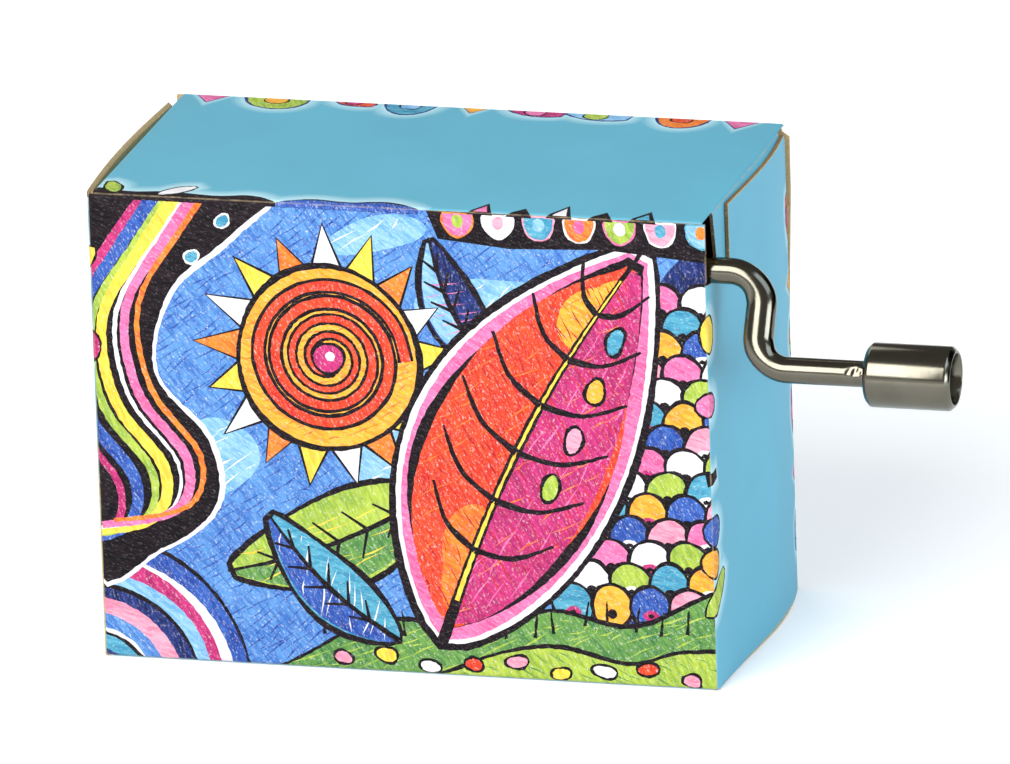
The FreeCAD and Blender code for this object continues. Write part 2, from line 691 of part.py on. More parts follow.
def make_worm_wheel():
    """The wheel on the arbor's front end. Its slanted tooth gaps follow the worm's lead."""
    body = new_body("worm_wheel")
    body.Placement = FreeCAD.Placement(Vector(0, 0, 0), FreeCAD.Rotation(Y_AXIS, 1))
    bind(body, x=AXIS_X, y=SHAFT_Y, z=AXIS_Z)
    body.setExpression("Placement.Rotation.Angle", sized("(180 + crank_lean) / wheel_teeth * 1 deg"))
    disc_section = new_sketch(body, "XZ_Plane", "wheel_section")
    add_circle(disc_section, "0", "0", f"{WHEEL_PITCH_RADIUS} + tooth_high")
    add_circle(disc_section, "0", "0", "arbor_radius + fit_gap")
    pad(body, disc_section, "wheel_thick", "wheel_disc", both_ways=True)
    web = new_sketch(body, "XZ_Plane", "wheel_web_outline", "wheel_thick / 2")
    add_circle(web, "0", "0", f"{WHEEL_PITCH_RADIUS} - tooth_deep - wheel_rim")
    add_circle(web, "0", "0", "hub_radius")
    pocket(body, web, "web_deep", "wheel_web")
    slant = "tooth_module / 2 / (wire_radius - tooth_high)"
    shift = f"-({slant}) * wheel_thick / 2"
    slope = "tan(flank_angle + 180 / wheel_teeth)"
    half_gap = f"({WORM_LEAD} - tooth_thick) / 2"
    gap = new_sketch(body, "XZ_Plane", "tooth_gap_outline", "wheel_thick / 2")
    floor = f"({half_gap} - tooth_deep * {slope})"
    mouth = f"({half_gap} + 2 * tooth_high * {slope})"
    add_outline(gap, [
        (f"{shift} - {floor}", f"{WHEEL_PITCH_RADIUS} - tooth_deep"),
        (f"{shift} + {floor}", f"{WHEEL_PITCH_RADIUS} - tooth_deep"),
        (f"{shift} + {mouth}", f"{WHEEL_PITCH_RADIUS} + 2 * tooth_high"),
        (f"{shift} - {mouth}", f"{WHEEL_PITCH_RADIUS} + 2 * tooth_high"),
    ])
    groove = body.newObject("PartDesign::Pocket", "tooth_gap")
    groove.Profile = gap
    groove.UseCustomVector = True
    groove.AlongSketchNormal = True
    bind(groove, Length="wheel_thick")
    groove.Direction = Vector(value_of(slant), 1, 0)
    document.recompute()
    teeth = body.newObject("PartDesign::PolarPattern", "tooth_gaps")
    teeth.Originals = [groove]
    teeth.Axis = (origin_feature(body, "Y_Axis"), [""])
    teeth.Angle = 360
    bind(teeth, Occurrences="wheel_teeth")
    body.Tip = teeth
    return body


def pin_places():
    """Track and angle in degrees of each pin: a running scale over a slow bass figure."""
    step_angle = 360 / TUNE_STEPS
    for step in range(TUNE_STEPS):
        track = step * SCALE_STEP % TRACKS
        next_track = (step + 1) * SCALE_STEP % TRACKS
        yield track, step * step_angle
        bass = TRACKS - 1 - step // BASS_HOLD * BASS_STEP % BASS_TRACKS
        if step % BASS_HOLD == 0 and bass not in (track, next_track):
            yield bass, (step + 0.5) * step_angle


def make_pin_cylinder():
    """The brass tube with a raised pin for every note."""
    outer = add_cylinder("tube_outer", "cylinder_radius", "cylinder_long", AXIS_X, CYLINDER_Y, AXIS_Z, Y_AXIS)
    inner = add_cylinder("tube_inner", "cylinder_radius - cylinder_wall", "cylinder_long",
                         AXIS_X, CYLINDER_Y, AXIS_Z, Y_AXIS)
    tube = cut("tube", outer, inner)
    root = value_of("cylinder_radius - cylinder_wall / 2")
    tip = value_of("cylinder_radius + pin_high")
    radius = value_of("pin_radius")
    turns = [math.tau * side / PIN_SIDES for side in range(PIN_SIDES + 1)]
    corners = [Vector(0, radius * math.cos(turn), radius * math.sin(turn)) for turn in turns]
    prism = Part.Face(Part.makePolygon(corners)).extrude(Vector(tip - root, 0, 0))
    prism.translate(Vector(root, 0, 0))
    first_track = value_of(f"cylinder_long / 2 - ({TRACKS} - 1) / 2 * track_pitch")
    pins = []
    for track, angle in pin_places():
        pin = prism.copy()
        pin.rotate(Vector(0, 0, 0), Y_AXIS, angle + PIN_START_ANGLE)
        pin.translate(Vector(0, first_track + track * value_of("track_pitch"), 0))
        pins.append(pin)
    group = document.addObject("Part::Feature", "pins")
    group.Shape = Part.makeCompound(pins)
    bind(group, x=AXIS_X, y=CYLINDER_Y, z=AXIS_Z)
    return join("pin_cylinder", "Part::MultiFuse", [tube, group])


def make_movement_rounds():
    """The caps, arbor, bushes and retaining ring."""
    cap_radius = "cylinder_radius - cylinder_wall - fit_gap"
    hole = "arbor_radius + fit_gap"
    front = make_ring("cylinder_front_cap", cap_radius, hole, "cap_thick", AXIS_X, CYLINDER_Y, AXIS_Z, Y_AXIS)
    rear_y = f"{CYLINDER_Y} + cylinder_long - cap_thick"
    rear = make_ring("cylinder_rear_cap", cap_radius, hole, "cap_thick", AXIS_X, rear_y, AXIS_Z, Y_AXIS)
    arbor_start = f"{SHAFT_Y} - wheel_thick / 2 - arbor_end"
    arbor_long = f"{REAR_LUG_Y} + lug_thick + arbor_end - ({arbor_start})"
    arbor = add_cylinder("cylinder_arbor", "arbor_radius", arbor_long, AXIS_X, arbor_start, AXIS_Z, Y_AXIS)
    bushes = [make_ring(f"bush_{name}", "bush_radius", "arbor_radius + running_gap", "lug_thick",
                        AXIS_X, y, AXIS_Z, Y_AXIS)
              for name, y in (("front", FRONT_LUG_Y), ("rear", REAR_LUG_Y))]
    ring_x = f"{INNER_EAR_X} - bracket_thick - side_gap - ring_thick"
    ring = make_ring("shaft_retaining_ring", "ring_radius", "journal_radius + fit_gap", "ring_thick",
                     ring_x, SHAFT_Y, SHAFT_Z, X_AXIS)
    return [front, rear, arbor, join("arbor_bushes", "Part::Compound", bushes), ring]


def make_all():
    """Build every sub-part and return the objects that become nodes."""
    parts = [
        make_sleeve(),
        make_end_panel("right_end_panel", 1, "right_bow", notched=True),
        make_end_panel("left_end_panel", -1, "left_bow", notched=False),
    ]
    for name, side in (("right", 1), ("left", -1)):
        parts.append(make_tuck_flap(f"{name}_tuck_flap", side))
        parts.append(make_dust_flap(f"{name}_top_dust_flap", side, "box_tall", "-"))
        parts.append(make_dust_flap(f"{name}_bottom_dust_flap", side, "0", "+"))
    parts.append(add_box("adhesive_pad", "pad_long", "pad_deep", "pad_thick",
                         f"({PLATE_LEFT} + {PLATE_RIGHT} - pad_long) / 2", "-pad_deep / 2", PLATE_TOP))
    parts.append(make_bedplate())
    parts.append(make_comb())
    parts.append(make_comb_weights())
    parts.append(make_screws("comb_screws", "comb_shank", "comb_head", "comb_high", "comb_screw_deep",
                             "screw_slot", COMB_SCREWS, COMB_LOW))
    parts.append(make_bracket("outer_shaft_bracket", OUTER_EAR_X, 1))
    parts.append(make_bracket("inner_shaft_bracket", INNER_EAR_X, -1))
    parts.append(make_screws("bracket_screws", "small_shank", "small_head", "small_high", SMALL_SHANK_LONG,
                             "screw_slot", BRACKET_SCREWS, f"({PLATE_LOW} - bracket_thick)"))
    parts.append(make_crank())
    parts.append(make_knob())
    parts.append(make_worm_wheel())
    parts.append(make_pin_cylinder())
    parts.extend(make_movement_rounds())
    return parts


parts = make_all()
document.recompute()
for thing in document.Objects:
    if {"Invalid", "Error"} & set(thing.State):
        raise RuntimeError(f"{thing.Label} failed: {thing.State}")
for part in parts:
    if part.Shape.isNull() or not part.Shape.isValid():
        raise RuntimeError(f"{part.Label} has no valid shape")
os.makedirs("parts", exist_ok=True)
for part in parts:
    part.Shape.exportStep(f"parts/{part.Label}.step")
    box = part.Shape.BoundBox
    print(f"{part.Label}: {len(part.Shape.Solids)} solid(s), {part.Shape.Volume:.1f} mm3, "
          f"{box.XLength:.1f} x {box.YLength:.1f} x {box.ZLength:.1f} mm")
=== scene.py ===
"""The looks of a hand-cranked music box in a printed tuck-end carton.

Lengths are millimetres until they reach a mesh, and metres in the stage."""

import random
from math import cos, dist, hypot, pi, radians, sin, tan, tau

import bpy
from mathutils import Matrix, Vector
from mathutils.geometry import delaunay_2d_cdt


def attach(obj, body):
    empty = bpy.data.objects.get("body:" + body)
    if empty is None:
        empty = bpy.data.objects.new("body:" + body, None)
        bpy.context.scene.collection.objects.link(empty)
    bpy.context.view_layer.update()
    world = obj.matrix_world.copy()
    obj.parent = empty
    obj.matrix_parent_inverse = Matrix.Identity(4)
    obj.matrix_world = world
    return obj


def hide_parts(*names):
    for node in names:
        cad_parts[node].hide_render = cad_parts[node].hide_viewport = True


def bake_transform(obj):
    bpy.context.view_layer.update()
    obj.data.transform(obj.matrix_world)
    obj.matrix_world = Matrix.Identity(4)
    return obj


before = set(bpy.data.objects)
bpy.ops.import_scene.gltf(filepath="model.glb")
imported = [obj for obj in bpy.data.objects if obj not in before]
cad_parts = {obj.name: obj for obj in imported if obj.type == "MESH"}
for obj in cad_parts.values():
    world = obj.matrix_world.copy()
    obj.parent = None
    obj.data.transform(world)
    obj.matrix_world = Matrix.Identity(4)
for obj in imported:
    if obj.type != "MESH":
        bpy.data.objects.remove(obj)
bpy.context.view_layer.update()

MM = 0.001
X, Y, Z = Vector((1, 0, 0)), Vector((0, 1, 0)), Vector((0, 0, 1))

# The carton
WIDE, DEEP, TALL = 65.0, 34.0, 50.0
HALF_WIDE, HALF_DEEP = WIDE / 2, DEEP / 2
CARD = 0.34
CREASE, REAR_CREASE, FLAP_CREASE = 0.6, 0.35, 0.45
DUST_X, TOP_RIGHT = 32.0, 32.3
DUST_START, DUST_LONG = 2.9, 13.0
TUCK_Y = 16.05
TUCK_LONG, TUCK_MARGIN = 9.5, 3.0
END_LONG = TUCK_Y + HALF_DEEP
NOTCH_DEEP, NOTCH_Z = 8.5, TALL - 6.7
# An end's bow at its top and at its bottom, and how far the crest lies to the rear
RIGHT_BOW, LEFT_BOW = (0.72, 1.1, 1.7), (0.68, 0.66, 0.9)
LEFT_BEVEL = 0.35
# How far the top right dust flap stays behind the bowed end, and the width over which it springs out
SPRING_GAP, SPRING_FALL = 0.22, 0.8

# The crank
SHAFT_Y, SHAFT_Z = -14.6, 44.3
CRANK_LEAN = radians(20)
DOWN = Vector((0, -sin(CRANK_LEAN), -cos(CRANK_LEAN)))
ACROSS = X.cross(DOWN)
WIRE, JOURNAL = 1.35, 1.0
SHOULDER_X = 12.3
CRANK_OFFSET = 9.7
ARM_X, ARM_LEAN = HALF_WIDE + 5.25, 0.15
SHAFT_BEND, HANDLE_BEND = 3.3, 3.2
WORM_MIDDLE, WORM_TURNS, WORM_LEAD = 20.0, 5, pi * 0.4
WORM_START = WORM_MIDDLE - WORM_TURNS * WORM_LEAD / 2
WORM_ROOT, WORM_GAP, WORM_FLANK = 0.65, 0.466, radians(20)
KNOB_X, RECESS_X = HALF_WIDE + 16.9, 6.8
WIRE_END = KNOB_X + RECESS_X + 0.3
PINCH_FACE, PINCH_TURN = 1.25, radians(-82)
# Each point of a turned profile is a distance along the handle and a radius
PEEN_PROFILE = ((0.0, 1.35), (0.03, 1.72), (0.12, 1.8), (0.24, 1.76), (0.36, 1.5), (0.45, 1.0), (0.5, 0.4))
KNOB_PROFILE = ((0.12, 1.41), (0.0, 1.53), (0.0, 2.72), (0.06, 2.85), (0.4, 3.2), (0.5, 3.27), (0.64, 3.3),
                (8.5, 3.3), (8.64, 3.27), (8.74, 3.2), (9.04, 2.9), (9.09, 2.82), (9.1, 2.74), (9.08, 2.66),
                (9.0, 2.6), (RECESS_X, 2.6), (RECESS_X, 1.41))

# The foam pad
PAD_X, PAD_LONG, PAD_DEEP, PAD_THICK, PAD_BULGE = 10.75, 30.0, 24.0, 0.8, 0.18


# colours and materials

def linear(text):
    """Turn a hex colour into linear RGBA."""
    parts = [int(text[i:i + 2], 16) / 255 for i in (0, 2, 4)]
    return tuple(c / 12.92 if c <= 0.04045 else ((c + 0.055) / 1.055) ** 2.4 for c in parts) + (1.0,)


def shaded(colour, share):
    """A colour with only a share of its brightness."""
    return tuple(c * share for c in colour[:3]) + (1.0,)


class Nodes:
    """A short way to add nodes to a tree and to fill their sockets with values or links."""

    def __init__(self, tree):
        self.tree = tree

    def fill(self, node, inputs):
        for name, value in inputs.items():
            socket = node.inputs[name]
            if isinstance(value, bpy.types.NodeSocket):
                self.tree.links.new(value, socket)
            else:
                socket.default_value = value
        return node

    def add(self, kind, inputs=None, **settings):
        node = self.tree.nodes.new(f"ShaderNode{kind}")
        for name, value in settings.items():
            setattr(node, name, value)
        return self.fill(node, inputs or {})

    def math(self, operation, a, b=0.0, clamp=False):
        return self.add("Math", {0: a, 1: b}, operation=operation, use_clamp=clamp).outputs[0]

    def mix(self, factor, a, b):
        return self.add("Mix", {0: factor, 6: a, 7: b}, data_type="RGBA").outputs[2]

    def span(self, value, low, high, to_low=0.0, to_high=1.0):
        return self.add("MapRange", {0: value, 1: low, 2: high, 3: to_low, 4: to_high}).outputs[0]

    def noise(self, vector, scale, detail=3.0, roughness=0.5, distortion=0.0):
        return self.add("TexNoise", {"Vector": vector, "Scale": scale, "Detail": detail,
                                     "Roughness": roughness, "Distortion": distortion}).outputs[0]

    def scaled(self, vector, scale):
        return self.add("Mapping", {"Vector": vector, "Scale": scale}).outputs[0]

    def bump(self, height, millimetres, strength):
        return self.add("Bump", {"Height": height, "Distance": millimetres * MM,
                                 "Strength": strength}).outputs[0]

    def net(self):
        """Where a point lies on the unfolded carton, in millimetres."""
        return self.add("Attribute", attribute_name="net").outputs["Vector"]

    def own(self):
        """Where a point lies in the object's own space."""
        return self.add("TexCoord").outputs["Object"]

    def own_mm(self):
        return self.scaled(self.own(), (1 / MM, 1 / MM, 1 / MM))


def new_material(name):
    """An empty material, its nodes and its principled shader."""
    material = bpy.data.materials.new(name)
    material.use_nodes = True
    return material, Nodes(material.node_tree), material.node_tree.nodes["Principled BSDF"]


# Each ink has a main colour, a second colour for its strokes, the strokes' direction in degrees and
# the share of bare paper
INKS = {
    "black": ("0f0b10", "241a20", 20, 0.12),
    "navy": ("2a3a7c", "17224f", 75, 0.5),
    "royal": ("3a62b4", "24408f", 60, 0.8),
    "blue": ("5f95d0", "3c6cb8", 50, 0.8),
    "sky": ("93c3e4", "66a2d6", 35, 0.8),
    "teal": ("57a6bf", "3686a8", 10, 0.6),
    "red": ("cf2d2b", "a01d2c", 55, 0.6),
    "scarlet": ("e2502c", "cc3127", 65, 0.8),
    "orange": ("ee8a30", "dd5f29", 40, 0.7),
    "gold": ("f3b53c", "e6912d", 25, 0.7),
    "yellow": ("f6dc50", "f0ba3a", 70, 0.5),
    "magenta": ("c9387a", "a1265f", 60, 0.7),
    "pink": ("e77db0", "d2588f", 30, 0.7),
    "rose": ("efa6ba", "e17a98", 15, 0.6),
    "lime": ("b4c84c", "86a63e", 65, 0.8),
    "green": ("6c9c4a", "3f7541", 55, 0.8),
    "white": ("f3f1ee", "dcd8e0", 0, 0.0),
}
PLAIN_CYAN, PALEST_CYAN = "62b1c8", "b4dee8"
HALO_INKS = [f"halo_{step}" for step in range(1, 7)]
PAPER = linear("f1efea")
WORN_CARD = linear("cfb58c")


def crease_wear(nodes, net):
    """How worn the print is along the creases round the front and along the rear ones, from 0 to 1."""
    split = nodes.add("SeparateXYZ", {0: net})
    rub = nodes.noise(net, 0.7, 4.0, 0.7)
    total = 0.0
    for axis, line in ((0, -HALF_WIDE), (0, HALF_WIDE), (1, 0.0), (1, TALL), (1, TALL + DEEP)):
        away = nodes.math("ABSOLUTE", nodes.math("SUBTRACT", split.outputs[axis], line))
        total = nodes.math("ADD", nodes.span(away, 0.03, 0.17, 1.0, 0.0), total)
    return nodes.math("MULTIPLY", total, nodes.span(rub, 0.35, 0.7, 0.0, 0.6), clamp=True)


def crayon_group():
    """Wax crayon on paper: streaks of a second colour, bare grains of paper and slow changes of tone."""
    tree = bpy.data.node_groups.new("crayon", "ShaderNodeTree")
    for name, way, kind in (("Ink", "INPUT", "Color"), ("Shade", "INPUT", "Color"),
                            ("Turn", "INPUT", "Float"), ("Bare", "INPUT", "Float"),
                            ("Colour", "OUTPUT", "Color"), ("Height", "OUTPUT", "Float")):
        tree.interface.new_socket(name, in_out=way, socket_type=f"NodeSocket{kind}")
    nodes = Nodes(tree)
    given = tree.nodes.new("NodeGroupInput").outputs
    net = nodes.net()
    turn = nodes.add("CombineXYZ", {"Z": given["Turn"]}).outputs[0]
    turned = nodes.add("Mapping", {"Vector": net, "Rotation": turn}).outputs[0]
    streaks = nodes.noise(nodes.scaled(turned, (0.45, 2.2, 1.0)), 1.0, 4.0, 0.6, 0.6)
    fine = nodes.noise(nodes.scaled(turned, (1.8, 4.6, 1.0)), 1.0, 2.0, 0.65, 0.5)
    grain = nodes.noise(net, 4.5, 2.0, 0.65)
    slow = nodes.noise(net, 0.13, 2.0, 0.5)
    drift = nodes.span(slow, 0.35, 0.75, -0.3, 0.35)
    tone = nodes.math("ADD", nodes.span(streaks, 0.40, 0.62), drift, clamp=True)
    gaps = nodes.math("MULTIPLY", nodes.span(fine, 0.52, 0.70), nodes.span(grain, 0.42, 0.66), clamp=True)
    bare = nodes.math("MULTIPLY", gaps, given["Bare"], clamp=True)
    colour = nodes.mix(bare, nodes.mix(tone, given["Ink"], given["Shade"]), PAPER)
    colour = nodes.mix(crease_wear(nodes, net), colour, WORN_CARD)
    height = nodes.math("ADD", nodes.math("MULTIPLY", grain, 0.4), nodes.math("MULTIPLY", streaks, 0.6))
    nodes.fill(tree.nodes.new("NodeGroupOutput"), {"Colour": colour, "Height": height})
    return tree


def ink_material(name, group):
    """One crayon colour of the drawing."""
    ink, shade, turn, bare = INKS[name]
    material, nodes, shader = new_material(f"ink_{name}")
    crayon = nodes.add("Group", {"Ink": linear(ink), "Shade": linear(shade), "Turn": radians(turn),
                                 "Bare": bare}, node_tree=group).outputs
    nodes.fill(shader, {"Base Color": crayon["Colour"], "Normal": nodes.bump(crayon["Height"], 0.02, 0.6),
                        "Roughness": 0.6, "Specular IOR Level": 0.12})
    return material


def flat_material(name, pale=0.0):
    """The plain printed colour with a faint screen grain, paler by a share for a glow."""
    material, nodes, shader = new_material(f"print_{name}")
    net = nodes.net()
    base = tuple(a + (b - a) * pale for a, b in zip(linear(PLAIN_CYAN), linear(PALEST_CYAN)))
    colour = nodes.mix(nodes.span(nodes.noise(net, 0.09), 0.3, 0.7), base, shaded(base, 0.94))
    colour = nodes.mix(nodes.span(nodes.noise(net, 6.0, 2.0, 0.7), 0.4, 0.75, 0.0, 0.05), colour, PAPER)
    colour = nodes.mix(crease_wear(nodes, net), colour, WORN_CARD)
    nodes.fill(shader, {"Base Color": colour, "Normal": nodes.bump(nodes.noise(net, 3.0), 0.01, 0.5),
                        "Roughness": 0.5, "Specular IOR Level": 0.2})
    return material


def card_material(name, tint, layered=True):
    """Unprinted card: short grey and brown fibres, and layers where it is cut."""
    material, nodes, shader = new_material(name)
    place = nodes.own_mm()
    fibres = nodes.noise(nodes.scaled(place, (2.0, 2.0, 2.0)), 1.0, 5.0, 0.7, 1.5)
    flecks = nodes.noise(place, 3.5, 2.0, 0.6)
    base = linear(tint)
    colour = nodes.mix(nodes.span(fibres, 0.35, 0.7), base, shaded(base, 0.62))
    colour = nodes.mix(nodes.span(flecks, 0.62, 0.72, 0.0, 0.5), colour, linear("efe6d2"))
    if layered:
        layers = nodes.span(nodes.noise(place, 9.0, 2.0), 0.4, 0.6, 0.0, 0.6)
        colour = nodes.mix(layers, colour, linear("9c7d52"))
    nodes.fill(shader, {"Base Color": colour, "Normal": nodes.bump(fibres, 0.03, 0.8), "Roughness": 0.85})
    return material


def metal(name, tint, roughness, lines, line_depth, stain, spread=0.12):
    """Bare or plated metal: fine tool lines, slow stains and an uneven polish."""
    material, nodes, shader = new_material(name)
    place = nodes.own_mm()
    tool = nodes.noise(nodes.scaled(place, lines), 1.0, 3.0, 0.6)
    slow = nodes.noise(place, 0.35, 4.0, 0.6)
    base = linear(tint)
    uneven = nodes.math("ADD", nodes.math("MULTIPLY", tool, 0.5), nodes.math("MULTIPLY", slow, 0.5))
    smoothest, roughest = max(roughness - spread / 2, 0.02), roughness + spread / 2
    nodes.fill(shader, {
        "Base Color": nodes.mix(nodes.span(slow, 0.4, 0.75), base, shaded(base, 1 - stain * 2)),
        "Roughness": nodes.span(uneven, 0.3, 0.7, smoothest, roughest),
        "Normal": nodes.bump(tool, line_depth, 0.8), "Metallic": 1.0})
    return material


def plastic(name, tint, roughness):
    """Moulded nylon with a faint flow pattern."""
    material, nodes, shader = new_material(name)
    place = nodes.own_mm()
    base = linear(tint)
    flow = nodes.span(nodes.noise(place, 0.9, 4.0, 0.6, 0.8), 0.35, 0.7)
    nodes.fill(shader, {"Base Color": nodes.mix(flow, base, shaded(base, 0.88)), "Roughness": roughness,
                        "Normal": nodes.bump(nodes.noise(place, 7.0), 0.006, 0.7)})
    return material


def foam(name, tint):
    """Closed-cell foam with small pores."""
    material, nodes, shader = new_material(name)
    cells = nodes.add("TexVoronoi", {"Vector": nodes.own_mm(), "Scale": 3.2}).outputs["Distance"]
    base = linear(tint)
    # The pores are painted darker at their middles, as shade in their hollows
    pore_shade = nodes.span(cells, 0.0, 0.35, 1.0, 0.0)
    nodes.fill(shader, {"Base Color": nodes.mix(pore_shade, base, shaded(base, 0.5)),
                        "Normal": nodes.bump(cells, 0.05, 1.0), "Roughness": 0.9})
    return material


# drawing on the unfolded carton
# The front panel is x -32.5..32.5, y 0..50. The top lies above it, the bottom below and the ends beside it.

hand = random.Random(11)
FRONT_ART, BORDER_ART = [], []


def smooth(points, closed=True, steps=6):
    """A Catmull-Rom curve through some points."""
    path = [points[-1], *points, *points[:2]] if closed else [points[0], *points, points[-1]]
    out = []
    for a, b, c, d in zip(path, path[1:], path[2:], path[3:]):
        for step in range(steps):
            t = step / steps
            out.append(tuple(
                0.5 * (2 * b[k] + (c[k] - a[k]) * t + (2 * a[k] - 5 * b[k] + 4 * c[k] - d[k]) * t * t
                       + (3 * b[k] - a[k] - 3 * c[k] + d[k]) * t ** 3) for k in (0, 1)))
    return out if closed else [*out, tuple(points[-1])]


def ring(x, y, across, up=None, turn=0.0, wobble=0.03, count=36):
    """A hand-drawn disc."""
    up = up or across
    first, second = (hand.uniform(0, tau) for _ in range(2))
    c, s = cos(turn), sin(turn)
    out = []
    for i in range(count):
        a = tau * i / count
        swell = 1 + wobble * sin(2 * a + first) + wobble * 0.6 * sin(3 * a + second)
        dx, dy = across * swell * cos(a), up * swell * sin(a)
        out.append((x + dx * c - dy * s, y + dx * s + dy * c))
    return out


def spine(start, end, bend, t):
    """A point at t along a line from start to end that bends to its left, and the direction to its left."""
    dx, dy = end[0] - start[0], end[1] - start[1]
    length = hypot(dx, dy)
    left = (-dy / length, dx / length)
    bow = bend * sin(pi * t)
    return (start[0] + dx * t + left[0] * bow, start[1] + dy * t + left[1] * bow), left


def beside(point, left, sideways, ahead):
    """The place at one distance to the left of a point and another ahead of it."""
    return (point[0] + left[0] * sideways + left[1] * ahead,
            point[1] + left[1] * sideways - left[0] * ahead)


def leaf(start, end, wide, bend=0.0, sides=(1, -1), count=22):
    """A pointed leaf, or one half of it."""
    out = []
    for side, steps in ((sides[0], range(count + 1)), (sides[1], range(count, -1, -1))):
        for i in steps:
            t = i / count
            (x, y), left = spine(start, end, bend, t)
            half = side * wide / 2 * sin(pi * t ** 0.85) ** 0.8 if 0 < i < count else 0.0
            if not out or i not in (0, count):
                out.append((x + left[0] * half, y + left[1] * half))
    return out


def heading(before, after):
    """The sine and cosine of the direction from one point to another."""
    dx, dy = after[0] - before[0], after[1] - before[1]
    length = hypot(dx, dy) or 1.0
    return dy / length, dx / length


def band(points, wide, end_wide=None, closed=False):
    """A ribbon along a path, with a slightly uneven width."""
    end_wide = wide if end_wide is None else end_wide
    path = smooth(points, closed, 5) if len(points) > 2 else list(points)
    left, right = [], []
    phase = hand.uniform(0, tau)
    for i, (x, y) in enumerate(path):
        s, c = heading(path[max(i - 1, 0)], path[min(i + 1, len(path) - 1)])
        t = i / max(len(path) - 1, 1)
        half = (wide + (end_wide - wide) * t) / 2 * (1 + 0.12 * sin(9 * t + phase))
        left.append((x - s * half, y + c * half))
        right.append((x + s * half, y - c * half))
    return left + right[::-1]


def turns_left(outline):
    """Whether a closed outline runs anticlockwise."""
    return sum(a[0] * b[1] - b[0] * a[1] for a, b in zip(outline, outline[1:] + outline[:1])) > 0


def grow(outline, distance, uneven=0.25):
    """Move a closed outline outwards, unevenly, as a pen line round it would be."""
    count = len(outline)
    way = 1 if turns_left(outline) else -1
    phase = hand.uniform(0, tau)
    out = []
    for i, (x, y) in enumerate(outline):
        s, c = heading(outline[i - 1], outline[(i + 1) % count])
        much = way * distance * (1 + uneven * sin(tau * 3 * i / count + phase))
        out.append((x + s * much, y - c * much))
    return out


def rough(outline, jitter=0.05, spacing=0.5):
    """An outline with the small uneven steps of a crayon's edge."""
    out = []
    for (ax, ay), (bx, by) in zip(outline, outline[1:] + outline[:1]):
        count = max(1, round(hypot(bx - ax, by - ay) / spacing))
        for step in range(count):
            t = step / count
            out.append((ax + (bx - ax) * t + hand.uniform(-jitter, jitter),
                        ay + (by - ay) * t + hand.uniform(-jitter, jitter)))
    return out


def outlined(layer, ink, outline, line=0.45, pen="black"):
    """Paint a shape with a pen line round it."""
    layer.append((pen, grow(outline, line)))
    layer.append((ink, outline))


def hatch(layer, ink, outline, degrees, gap, wide=0.16, keep=0.85):
    """Pencil strokes across a shape."""
    turn = radians(degrees)
    c, s = cos(turn), sin(turn)
    flat = [(x * c + y * s, y * c - x * s) for x, y in outline]
    level = min(y for _, y in flat) + gap
    highest = max(y for _, y in flat)
    while level < highest:
        crossings = sorted(
            a[0] + (b[0] - a[0]) * (level - a[1]) / (b[1] - a[1])
            for a, b in zip(flat, flat[1:] + flat[:1]) if (a[1] - level) * (b[1] - level) < 0)
        for start, end in zip(crossings[::2], crossings[1::2]):
            start += hand.uniform(0.1, 0.5)
            end -= hand.uniform(0.1, 0.9)
            while end - start > 0.6:
                stop = min(end, start + hand.uniform(1.6, 5.5))
                if hand.random() < keep:
                    tilt, sag = hand.uniform(-0.3, 0.3), hand.uniform(-0.2, 0.2)
                    half = wide / 2 * hand.uniform(0.6, 1.3)
                    middle = (start + stop) / 2
                    stroke = [(start, level - tilt), (middle, level + sag - half), (stop, level + tilt),
                              (middle, level + sag + half)]
                    layer.append((ink, [(x * c - y * s, x * s + y * c) for x, y in stroke]))
                start = stop + hand.uniform(-0.4, 0.5)
        level += gap * hand.uniform(0.7, 1.3)


def box_outline(x0, y0, x1, y1):
    """Corners of an upright rectangle."""
    return [(x0, y0), (x1, y0), (x1, y1), (x0, y1)]


def draw_sky(art):
    """Blue pencil behind everything, with lighter patches and loose strokes."""
    sky = box_outline(-34, -1.5, 34, 51.5)
    art.append(("blue", sky))
    hatch(art, "royal", sky, 38, 0.75, 0.2, 0.8)
    for x, y, across, up in ((9, 40, 7, 3.2), (-2, 47, 5, 2), (1, 22, 6, 5), (-20, 22, 5, 4)):
        patch = ring(x, y, across, up, 0.2, 0.12)
        art.append(("sky", patch))
        hatch(art, "white", patch, 38, 0.9, 0.18, 0.6)


def draw_river(art):
    """Coloured streams flowing down a black bank at the left."""
    bank = smooth([(-34, 52), (-13, 52), (-17.5, 46), (-24, 40), (-26, 31), (-20.5, 24), (-20, 17),
                   (-26, 12), (-34, 11)])
    outlined(art, "black", bank, 0.5, "white")
    line = [(-21, 52), (-25.5, 45.5), (-30.5, 37), (-29.5, 28), (-24.5, 21), (-26, 15.5), (-34, 13.5)]
    streams = ((-6.6, 1.1, "magenta"), (-4.6, 1.5, "royal"), (-2.4, 1.0, "lime"), (-0.9, 1.4, "yellow"),
               (0.8, 0.5, "white"), (2.0, 1.2, "pink"), (3.6, 0.7, "orange"))
    for shift, wide, ink in streams:
        path = [(x + shift * 0.86, y + shift * 0.35) for x, y in line]
        art.append((ink, band(path, wide, wide * 0.7)))
    for x, y in ((-15.8, 50.2), (-18.2, 47.6), (-21.6, 43.6)):
        outlined(art, "teal", ring(x, y, 0.75, 0.55, 0.6), 0.2, "white")


